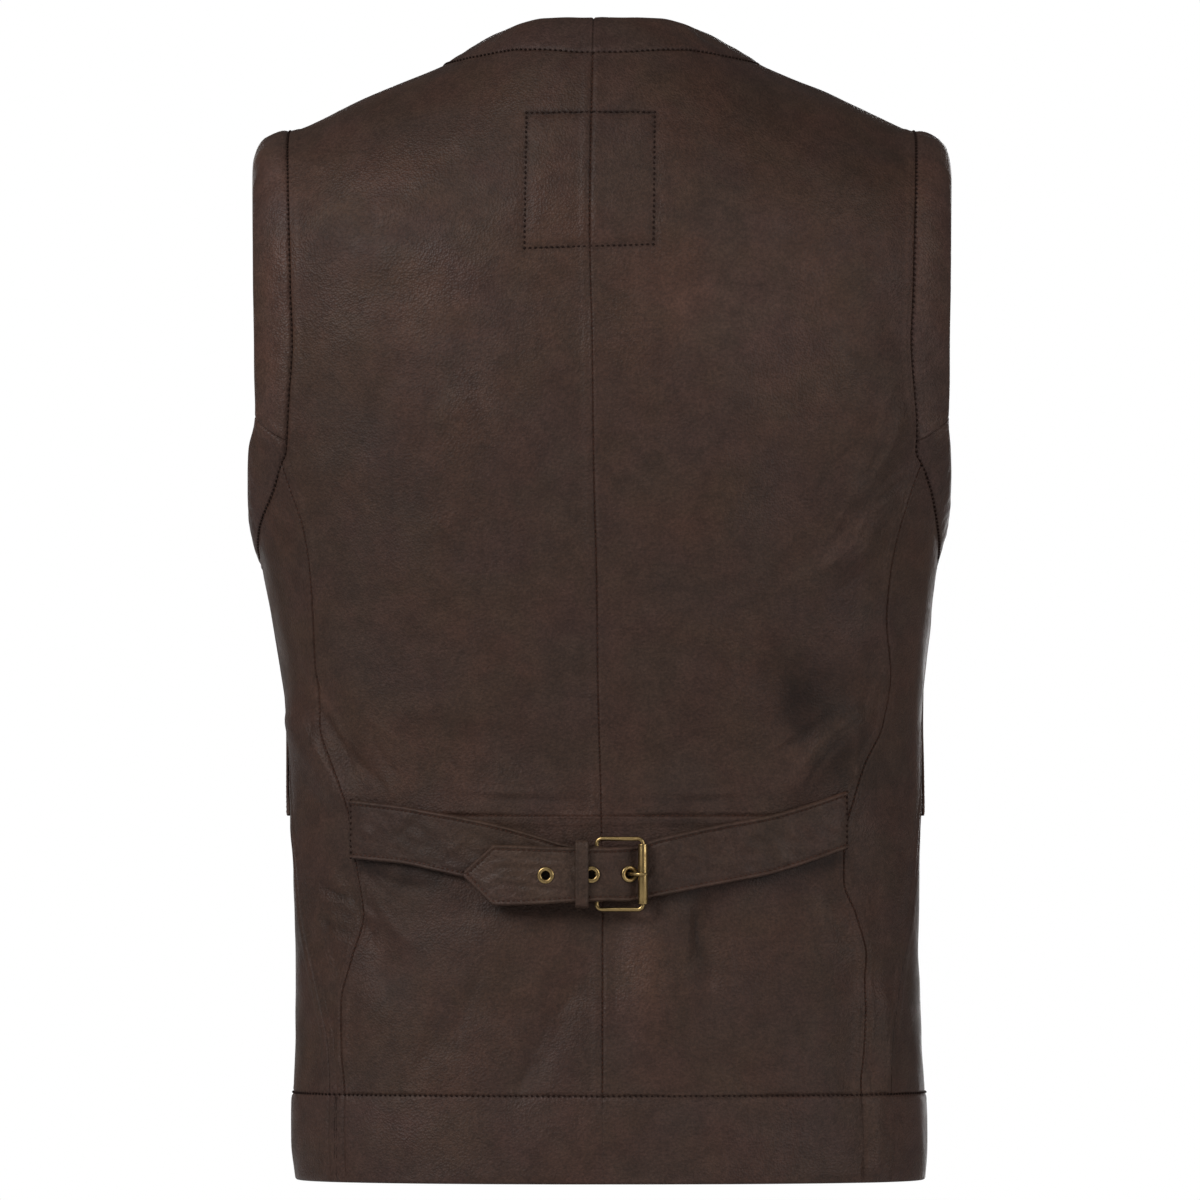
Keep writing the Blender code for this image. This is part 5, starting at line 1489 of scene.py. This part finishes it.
# distance across, stand-off
PRONG_PATH = ((-4, 4.2), (-9.5, 3.8), (-13.4, 4.5), (-15.2, 6.5), (-16.1, 9.4), (-18.2, 12.4), (-20.8, 14.3),
              (-23.4, 15.0), (-25.6, 14.9))
EYELET_HOLE = 2.5
EYELET_FLANGE = 4.8
EYELET_PLATE = 0.6


def brass_piece(made, node_name):
    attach(made, "root")
    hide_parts(node_name)
    return made


bar = buckle_point(ROLLER_PLACE)
reach = np.linalg.norm(bar - heel)
along = (bar - heel) / reach
frame_path = rounded_oblong((heel + bar) / 2, along, UPRIGHT, reach / 2, FRAME_HALF_HEIGHT, FRAME_CORNER,
                            corner_steps=9, spacing=2.0)
brass_piece(drawn_wire("buckle_frame_wire", frame_path, WIRE, BRASS, closed=True), "buckle_frame")

bore = WIRE + 0.25
profile = [(bore, -ROLLER_HALF), (ROLLER_RADIUS - ROLLER_EDGE, -ROLLER_HALF)]
profile += [(ROLLER_RADIUS - ROLLER_EDGE * (1 - math.sin(a)), -ROLLER_HALF + ROLLER_EDGE * (1 - math.cos(a)))
            for a in np.radians((30, 60, 90))]
profile += [(ROLLER_RADIUS - 0.12, -ROLLER_HALF + 1.4), (ROLLER_RADIUS, -ROLLER_HALF + 1.9)]
profile += [(radius, -height) for radius, height in reversed(profile)]
brass_piece(turned("buckle_roller_tube", profile, bar, UPRIGHT, BRASS), "buckle_roller")

loop = WIRE + LIE_GAP + PRONG_WIRE
prong_path = list(arc(heel, loop, np.array((1.0, 0, 0)), np.array((0, 1.0, 0)), 150, -85, 18))
prong_path = np.vstack([prong_path, through([buckle_point(place) for place in PRONG_PATH], 5)])
radii = np.full(len(prong_path), PRONG_WIRE)
radii[-10:] = PRONG_WIRE * np.linspace(1.0, PRONG_TIP, 10)
brass_piece(drawn_wire("buckle_prong_wire", prong_path, radii, BRASS, sides=16), "buckle_prong")

plate = STRAP_THICK / 2 + LIE_GAP
crown = EYELET_FLANGE - EYELET_HOLE
barrel = STRAP_HOLE - 0.3
eyelet = [(EYELET_HOLE, -plate - EYELET_PLATE), (EYELET_FLANGE, -plate - EYELET_PLATE),
          (EYELET_FLANGE, -plate), (barrel, -plate), (barrel, plate), (EYELET_FLANGE, plate)]
eyelet += [(EYELET_FLANGE - crown / 2 + crown / 2 * math.cos(a), plate + 0.15 + 0.75 * math.sin(a))
           for a in np.radians(np.arange(10, 171, 20))]
eyelet += [(EYELET_HOLE, plate - 0.3)]
for number, x in enumerate(EYELET_PLACES):
    centre, axis = right_strap_at(x)
    brass_piece(turned(f"eyelet_{number + 1}_ring", eyelet, centre, axis, BRASS), f"eyelet_{number + 1}")
print("metal pieces:", 3 + len(EYELET_PLACES))

# %% [markdown]
# ## Holes through the tab
# The eyelets need real holes, or the leather would close them from behind. A boolean cut with a plain peg at
# each eyelet does this, and the result is kept as a plain mesh. The cut allows for a strap whose mesh meets
# itself, because without that the pegs' ends stay in the holes.

# %% Cut the eyelet holes
PEG_HALF = 3


def punched(strap_object, places):
    """Cuts a round hole through a strap at each place and returns a plain mesh object."""
    pegs = []
    for x in places:
        centre, axis = right_strap_at(x)
        profile = ((0, -PEG_HALF), (STRAP_HOLE, -PEG_HALF), (STRAP_HOLE, PEG_HALF), (0, PEG_HALF))
        peg = turned("peg", profile, centre, axis, BELT_LEATHER, 24)
        triangles.pop("peg", None)
        step = strap_object.modifiers.new("hole", "BOOLEAN")
        step.operation = "DIFFERENCE"
        step.use_self = True
        step.object = peg
        pegs.append(peg)
    name = strap_object.name
    evaluated = strap_object.evaluated_get(bpy.context.evaluated_depsgraph_get())
    mesh = bpy.data.meshes.new_from_object(evaluated)
    bpy.data.objects.remove(strap_object)
    for peg in pegs:
        bpy.data.objects.remove(peg)
    made = bpy.data.objects.new(name, mesh)
    bpy.context.scene.collection.objects.link(made)
    return made


belt_right = punched(belt_right, EYELET_PLACES)
print("holes:", len(EYELET_PLACES))

# %% [markdown]
# ## The keeper
# A narrow loop of the same leather goes round both straps beside the buckle and holds the tab down. It is a
# closed ring: a section with rolled edges like those of the straps, swept round a rounded oblong. The straps
# go onto the body here too.

# %% Keeper
KEEPER_PLACE = (7.6, 15.2)
KEEPER_THICK = 1.5
KEEPER_HALF_HEIGHT = 19.4
KEEPER_CORNER = 2.0
KEEPER_RUB = 0.4
ACROSS = np.array((1.0, 0.0, 0.0))
BACKWARD = np.array((0.0, 1.0, 0.0))


def keeper_section(half_width):
    """Section of the keeper's strip as (across, height): rolled edges and grooves above, flat beneath."""
    section = []
    for share in np.linspace(-1, 1, 15):
        from_edge = half_width * (1 - abs(share))
        height = KEEPER_THICK + 0.22 * bell(from_edge, 0.9, 0.5) - 0.2 * bell(from_edge, 1.8, 0.4)
        section.append((share * half_width, height - round_off(from_edge, 0.6)))
    flank = KEEPER_THICK * 0.4
    section += [(half_width, flank), (half_width - 0.3, 0.05), (0.3 - half_width, 0.05), (-half_width, flank)]
    return np.array(section)


low_x, high_x = KEEPER_PLACE
middle_x, half_width = (low_x + high_x) / 2, (high_x - low_x) / 2
under_strap = heel[1] - turn_radius - STRAP_THICK / 2 - LIE_GAP
off_back = back_face(middle_x, BUCKLE_HEIGHT, KEEPER_HALF_HEIGHT) + KEEPER_THICK + LIE_GAP
inner_low = max(under_strap, off_back)
inner_high = right_strap_at(middle_x)[0][1] + STRAP_THICK / 2 + 2 * LIE_GAP + EYELET_PLATE
middle = np.array((middle_x, (inner_low + inner_high) / 2, BUCKLE_HEIGHT))
loop_path = rounded_oblong(middle, BACKWARD, UPRIGHT, (inner_high - inner_low) / 2,
                           KEEPER_HALF_HEIGHT - KEEPER_THICK, KEEPER_CORNER, corner_steps=8, spacing=1.0)
run = np.roll(loop_path, -1, 0) - np.roll(loop_path, 1, 0)
square = np.cross(run, ACROSS)
square /= np.linalg.norm(square, axis=-1, keepdims=True)
if square[0, 1] < 0:
    square = -square
section = keeper_section(half_width)
rings = loop_path[:, None] + section[None, :, :1] * ACROSS + square[:, None] * section[None, :, 1:]
rings += square[:, None] * 0.12 * ripple(rings, 5.0, 61)[..., None] * (section[None, :, 1:] > 0.8)
count, sides = len(loop_path), len(section)
faces = [(i * sides + j, i * sides + (j + 1) % sides, (i + 1) % count * sides + (j + 1) % sides,
          (i + 1) % count * sides + j) for i in range(count) for j in range(sides)]
keeper = closed_mesh("belt_keeper_loop", rings.reshape(-1, 3), faces, BELT_LEATHER, 70)
stored = keeper.data.attributes.new("tone", "FLOAT", "POINT")
stored.data.foreach_set("value", np.full(len(keeper.data.vertices), KEEPER_RUB, np.float32))
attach(keeper, "root")
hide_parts("belt_keeper")
loop_length = float(np.linalg.norm(run, axis=-1).sum() / 2)
sewn(belt_left, "belt_left", left_top)
sewn(belt_right, "belt_right", right_top)
print(f"keeper: {2 * half_width:.1f} mm wide, {loop_length:.0f} mm round")

# %% [markdown]
# ## Press studs
# The lapped left front closes with five domed caps. Each is a turned shape with a rolled rim.

# %% Stud caps
STUD_HEIGHTS = (-292, -360, -428, -496, -564)
STUD_RADIUS = 6.5
STUD_HEIGHT = 2.4
STUD_SEAT = 1.3
STUD_RIM = 1.1
RIM_HEIGHT = 0.85
# radius and height, from the middle of the foot round the rolled rim and up the dome
cap = [(0.0, 0.0), (STUD_RADIUS - 0.3, 0.0), (STUD_RADIUS, 0.3), (STUD_RADIUS - 0.1, 0.75),
       (STUD_RADIUS - 0.5, 0.95), (STUD_RADIUS - 0.9, RIM_HEIGHT)]
cap += [((STUD_RADIUS - STUD_RIM) * math.cos(a), RIM_HEIGHT + (STUD_HEIGHT - RIM_HEIGHT) * math.sin(a))
        for a in np.radians(np.arange(8, 89, 10))]
cap.append((0.0, STUD_HEIGHT))
for number, height in enumerate(STUD_HEIGHTS):
    turn = turn_at_x(1, np.array([0.0]), np.array([height]), front=True)
    points, normals = skin(1, turn, np.array([float(height)]), LAP)
    foot = points[0] + normals[0] * STUD_SEAT
    stud = turned(f"press_stud_{number + 1}_cap", cap, foot, normals[0], BRASS)
    brass_piece(stud, f"press_stud_{number + 1}")
print("stud caps:", len(STUD_HEIGHTS))

# %% [markdown]
# ## The stitching
# Sewing repeats along a path, so Geometry Nodes make it: a line is measured off at the stitch pitch, and a
# small bead of thread is set on each mark, turned along the line and square to the leather. A fixed seed leans
# each stitch a little differently. The result is kept as a plain mesh of a few dozen faces a stitch.

# %% The stitch maker
def stitch_tree():
    """Node tree that sets stitches along lines. The lines carry the leather's direction as "up"."""
    tree = bpy.data.node_groups.new("stitches along a line", "GeometryNodeTree")
    face = tree.interface
    face.new_socket("Lines", in_out="INPUT", socket_type="NodeSocketGeometry")
    for label in ("Pitch", "Length", "Thickness", "Lean"):
        face.new_socket(label, in_out="INPUT", socket_type="NodeSocketFloat")
    face.new_socket("Seed", in_out="INPUT", socket_type="NodeSocketInt")
    face.new_socket("Thread", in_out="INPUT", socket_type="NodeSocketMaterial")
    face.new_socket("Stitches", in_out="OUTPUT", socket_type="NodeSocketGeometry")
    given = tree.nodes.new("NodeGroupInput").outputs
    curve = node(tree, "GeometryNodeMeshToCurve", Mesh=given["Lines"])
    marks = node(tree, "GeometryNodeResampleCurve", {"mode": "LENGTH"}, Curve=curve.outputs["Curve"],
                 Length=given["Pitch"])
    bead = node(tree, "GeometryNodeMeshUVSphere", Segments=7, Rings=5, Radius=0.5)
    size = node(tree, "ShaderNodeCombineXYZ", X=given["Length"], Y=given["Thickness"], Z=given["Thickness"])
    shaped = node(tree, "GeometryNodeTransform", Geometry=bead.outputs["Mesh"], Scale=size.outputs["Vector"])

    tangent = tree.nodes.new("GeometryNodeInputTangent").outputs["Tangent"]
    along = node(tree, "FunctionNodeAlignRotationToVector", {"axis": "X"}, Vector=tangent)
    up = node(tree, "GeometryNodeInputNamedAttribute", {"data_type": "FLOAT_VECTOR"}, Name="up")
    upright = node(tree, "FunctionNodeAlignRotationToVector", {"axis": "Z", "pivot_axis": "X"},
                   Rotation=along.outputs["Rotation"], Vector=up.outputs["Attribute"])

    least = node(tree, "ShaderNodeMath", {"operation": "MULTIPLY"})
    least.inputs[1].default_value = -1.0
    tree.links.new(given["Lean"], least.inputs[0])
    chance = node(tree, "FunctionNodeRandomValue", {"data_type": "FLOAT"}, Seed=given["Seed"])
    tree.links.new(least.outputs[0], chance.inputs[2])
    tree.links.new(given["Lean"], chance.inputs[3])
    lean = node(tree, "FunctionNodeAxisAngleToRotation", Axis=(0, 0, 1), Angle=chance.outputs[1])
    turned_by = node(tree, "FunctionNodeRotateRotation", {"rotation_space": "LOCAL"},
                     Rotation=upright.outputs["Rotation"], Rotate_By=lean.outputs["Rotation"])

    placed = node(tree, "GeometryNodeInstanceOnPoints", Points=marks.outputs["Curve"],
                  Instance=shaped.outputs["Geometry"], Rotation=turned_by.outputs["Rotation"])
    real = node(tree, "GeometryNodeRealizeInstances", Geometry=placed.outputs["Instances"])
    finish = node(tree, "GeometryNodeSetMaterial", Geometry=real.outputs["Geometry"], Material=given["Thread"])
    node(tree, "NodeGroupOutput", Stitches=finish.outputs["Geometry"])
    return tree


STITCHES = stitch_tree()
SOCKETS = {socket.name: socket.identifier for socket in STITCHES.interface.items_tree
           if socket.item_type == "SOCKET" and socket.in_out == "INPUT"}


def stitches(name, lines, pitch=3.1, length=1.6, thickness=1.3, lean=0.3, seed=1, thread=THREAD):
    """Stitches along lines; each line is (points, normals) in millimetres."""
    vertices = np.concatenate([points for points, _ in lines]) * MM
    normals = np.concatenate([up for _, up in lines])
    edges, start = [], 0
    for points, _ in lines:
        edges += [(start + k, start + k + 1) for k in range(len(points) - 1)]
        start += len(points)
    mesh = bpy.data.meshes.new(name + "_lines")
    mesh.from_pydata(vertices.tolist(), edges, [])
    stored = mesh.attributes.new("up", "FLOAT_VECTOR", "POINT")
    stored.data.foreach_set("vector", normals.astype(np.float32).ravel())
    guide = bpy.data.objects.new(name + "_lines", mesh)
    bpy.context.scene.collection.objects.link(guide)
    step = guide.modifiers.new("stitches", "NODES")
    step.node_group = STITCHES
    for label, value in (("Pitch", pitch * MM), ("Length", length * MM), ("Thickness", thickness * MM),
                         ("Lean", lean), ("Seed", seed), ("Thread", thread)):
        step[SOCKETS[label]] = value
    made_mesh = bpy.data.meshes.new_from_object(guide.evaluated_get(bpy.context.evaluated_depsgraph_get()))
    bpy.data.objects.remove(guide)
    made_mesh.shade_smooth()
    made = bpy.data.objects.new(name, made_mesh)
    bpy.context.scene.collection.objects.link(made)
    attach(made, "root")
    triangles[name] = sum(len(face.vertices) - 2 for face in made_mesh.polygons)
    return made


print("stitch inputs:", ", ".join(SOCKETS))

# %% [markdown]
# ## Where the stitches run
# A waxed dark thread runs in each topstitched seam: round the armholes, along the neck and the V, down the
# front band and round the hem band. Finer russet thread shows on the princess seams, the waist seam, the centre
# back and both long sides of the welts. Each line is read from the same seam tables as the leather, so it
# can't leave its groove.

# %% Sew the seams
# height of the thread over the form: in a groove, where it shows, on a fine seam and over a welt
SEAM_SINK = 0.1
PROUD_SEAM = 0.4
PLAIN_SINK = 0.0
WELT_THREAD = WELT_LIFT + WELT_THICK - 0.1


def seam_line(side, path, lap=0.0, height=SEAM_SINK):
    """Line on the leather, or in the groove of a seam, along a path of turns and rises."""
    points, normals = skin(side, path[:, 0], path[:, 1], lap)
    return points + normals * np.broadcast_to(height, len(path))[:, None], normals


for side, word in ((1, "left"), (-1, "right")):
    stitches(f"armhole_stitches_{word}",
             [seam_line(side, armhole_path(side, 0, len(ARMHOLE) - 1, 0), height=PROUD_SEAM)], seed=11 + side)
    lap = LAP if side > 0 else 0.0
    straight = front_edge_path(side, HEM_SEAM, SEAM_ROWS, 0)
    stitches(f"neck_stitches_{word}", [seam_line(side, neck_back_path(side, 0)),
                                       seam_line(side, np.vstack([straight, v_neck_path(side, 0)[1:]]), lap)],
             seed=15 + side)
    stitches(f"hem_stitches_{word}",
             [seam_line(side, line, raised, PROUD_SEAM) for _, line, raised in hems[side]], seed=19 + side)
    grid_sides = [welt_grid(np.array([share]), np.linspace(0.02, 0.98, 60))[:, 0] for share in (0.1, 0.9)]
    stitches(f"welt_stitches_{word}", [seam_line(side, path, height=WELT_THREAD) for path in grid_sides],
             thickness=0.6, seed=23 + side, thread=RUSSET)

for side, word in ((1, "left"), (-1, "right")):
    princess = princess_path(side, HEM_SEAM, ARMHOLE[PRINCESS_TOP][0][2], SEAM_ROWS)
    waist = level(centre_back_turn(side, WAIST_SEAM), princess_path(side, WAIST_SEAM, WAIST_SEAM, 1)[0, 0],
                  WAIST_SEAM)
    lines = [seam_line(side, path, height=PLAIN_SINK) for path in (princess, waist)]
    if side > 0:
        spine = centre_back(side, HEM_SEAM, neck_back_path(side, 0)[0, 1])
        lines.append(seam_line(side, spine, height=PLAIN_SINK))
    stitches(f"plain_stitches_{word}", lines, pitch=2.7, length=1.6, thickness=0.75, lean=0.2, seed=35 + side,
             thread=RUSSET)
print("sewn along the seams:", sum(name.endswith(("stitches_left", "stitches_right")) for name in triangles))

# %% [markdown]
# ## Sewing the rectangle
# The four rows of the rectangle cross the centre-back seam, so each row is sewn in two parts, one on each half
# of the back. The thread follows the back's own relief and stands a little proud of its groove.

# %% Sew the rectangle
lines = []
for k, start in enumerate(RECTANGLE):
    end = RECTANGLE[(k + 1) % 4]
    places = np.linspace(start, end, 90)
    for side in (1, -1):
        seam_x = flow(CENTRE_BACK[:, 0], CENTRE_BACK[:, 1], places[:, 1])
        mine = places[side * (places[:, 0] - seam_x) >= 0]
        if len(mine) < 3:
            continue
        rises = rise_at(mine[:, 0], mine[:, 1])
        path = np.stack([turn_at_x(side, mine[:, 0], rises), rises], -1)
        points, _ = skin(side, path[:, 0], path[:, 1])
        creases, swell = fine_relief(points, path[:, 0], path[:, 1])
        dip, _ = rectangle_relief(points, path[:, 0])
        lines.append(seam_line(side, path, height=creases + swell + dip + PROUD_SEAM))
stitches("rectangle_stitches", lines, pitch=3.1, length=2.0, seed=31)
print("rows sewn round the rectangle:", len(lines))

# %% [markdown]
# ## Sewing the straps
# Russet stitches run just inside both edges of each strap, but not under the roller, and meet at the tab's
# tip. Where a strap is caught in its princess seam, a row of the dark thread runs from edge to edge.

# %% Sew the straps
STRAP_SURFACE = STRAP_THICK / 2 - 0.08
UNDER_ROLLER = 4
TAIL_PLACE = 12
# how far inside the tab's tip the two rows of stitches meet
TIP_INSET = 3.4


def strap_lines(points, normals, halves, first, last):
    """Two lines along a strap, just inside its edges, between two of its rows."""
    found = []
    for way in (-1, 1):
        heights = way * (halves[first:last] - BELT_STITCH_INSET)
        middle = points[first:last].mean(1)
        square = normals[first:last, 0]
        found.append((middle + UPRIGHT * heights[:, None] + square * STRAP_SURFACE, square))
    return found


left_end = int((left_middles[:, 0] > TAIL_PLACE).argmin())
lines = strap_lines(left_points, left_normals, left_halves, 2, left_end)
tab_rows = int((tip_share < 1).sum())
under_roller = int((right_middles[:, 0] > ROLLER_PLACE[0] + UNDER_ROLLER).sum())
past_roller = int((right_middles[:, 0] > ROLLER_PLACE[0] - UNDER_ROLLER).sum())
lines += strap_lines(right_points, right_normals, right_halves, past_roller, len(right_middles) - 2)
tab = strap_lines(right_points, right_normals, right_halves, tab_rows, under_roller)
tip = right_middles[int(TIP_INSET * TAB_STEPS / (BELT_RIGHT[0, 0] - TAB_SHOULDER))]
tip_normal = right_normals[0, 0]
lines += tab
for points, normals in tab:
    corner = points[0]
    run = np.linspace(corner, tip + tip_normal * STRAP_SURFACE, 24)
    lines.append((run, np.broadcast_to(tip_normal, run.shape)))
ends = []
for points, normals, halves, row in ((left_points, left_normals, left_halves, 1),
                                     (right_points, right_normals, right_halves, -2)):
    heights = np.linspace(-1, 1, 30) * (halves[row] - 0.5)
    middle = points[row].mean(0) + normals[row, 0] * (STRAP_SURFACE + 0.1)
    ends.append((middle + UPRIGHT * heights[:, None], np.broadcast_to(normals[row, 0], (30, 3))))
stitches("strap_end_stitches", ends, seed=43)
stitches("belt_stitches", lines, pitch=2.9, length=1.9, thickness=0.7, seed=41, thread=RUSSET)
print("triangles in all:", sum(triangles.values()))

# %% [markdown]
# ## Floor, light and camera
# The studio is plain: a pale floor, a large soft light high behind the wearer's left shoulder, a weaker one on
# the right, a faint one above, and another pair in front for the hidden side. The surround looks white, but it
# lights the vest with only a part of that, so that the lamps draw the folds. The camera stands square behind
# the vest, far away with a long lens, so the outline is drawn almost without perspective.

# %% Studio
FLOOR_HEIGHT = -0.75
FLOOR_RADIUS = 2.4
CAMERA_DISTANCE = 12.0
AIM = np.array((0.0011, 0.0, -0.2878))
FRAME_WIDTH = 0.6852
SENSOR = 36.0
BACK_DEPTH = 0.11
AMBIENT = 0.13

bpy.ops.mesh.primitive_circle_add(vertices=96, radius=FLOOR_RADIUS, fill_type="NGON",
                                  location=(0, 0, FLOOR_HEIGHT))
floor = bpy.context.object
floor.name = "floor"
floor_look, _, floor_shader = new_material("pale_floor")
floor_shader.inputs["Base Color"].default_value = grey(0.78)
floor_shader.inputs["Roughness"].default_value = 0.9
floor.data.materials.append(floor_look)

world = bpy.data.worlds.new("studio")
bpy.context.scene.world = world
world.use_nodes = True
surround = world.node_tree.nodes["Background"]
seen = world.node_tree.nodes.new("ShaderNodeLightPath")
level_of = world.node_tree.nodes.new("ShaderNodeMapRange")
level_of.inputs["To Min"].default_value = AMBIENT
level_of.inputs["To Max"].default_value = 1.0
world.node_tree.links.new(seen.outputs["Is Camera Ray"], level_of.inputs["Value"])
world.node_tree.links.new(level_of.outputs["Result"], surround.inputs["Strength"])
surround.inputs["Color"].default_value = grey(1.0)

# name, place, side of the square lamp, power
LAMPS = (("key", (3.1, 2.9, 2.2), 2.0, 185.0),
         ("fill", (-3.4, 2.5, 0.8), 2.4, 78.0),
         ("top", (0.0, 3.0, 2.4), 2.2, 12.0),
         ("front_key", (-0.7, -4.3, -0.2), 2.0, 90.0),
         ("front_fill", (0.7, -4.3, -0.4), 2.4, 30.0))
for name, place, width, power in LAMPS:
    lamp = bpy.data.lights.new(name, "AREA")
    lamp.size = width
    lamp.energy = power
    holder = bpy.data.objects.new(name, lamp)
    bpy.context.scene.collection.objects.link(holder)
    holder.location = place
    aim = AIM - np.array(place)
    tilt = math.atan2(math.hypot(aim[0], aim[1]), -aim[2])
    holder.rotation_euler = (tilt, 0.0, math.atan2(-aim[0], aim[1]))

lens = bpy.data.cameras.new("camera")
lens.sensor_width = SENSOR
lens.lens = SENSOR * (CAMERA_DISTANCE - BACK_DEPTH) / FRAME_WIDTH
camera = bpy.data.objects.new("camera", lens)
bpy.context.scene.collection.objects.link(camera)
camera.location = (AIM[0], CAMERA_DISTANCE, AIM[2])
camera.rotation_euler = (math.pi / 2, 0.0, math.pi)
bpy.context.scene.camera = camera
bpy.context.scene.view_settings.view_transform = "Standard"
print(f"lens {lens.lens:.0f} mm")

# %% [markdown]
# ## Sizes, and the end
# The last cell prints the cut sizes of the dressed pieces.

# %% Cut sizes
print("cut sizes in millimetres:")
for name, (width, length), area in pieces:
    print(f"  {name}: {width / MM:.0f} x {length / MM:.0f}, {area * 1e4:.0f} square cm")
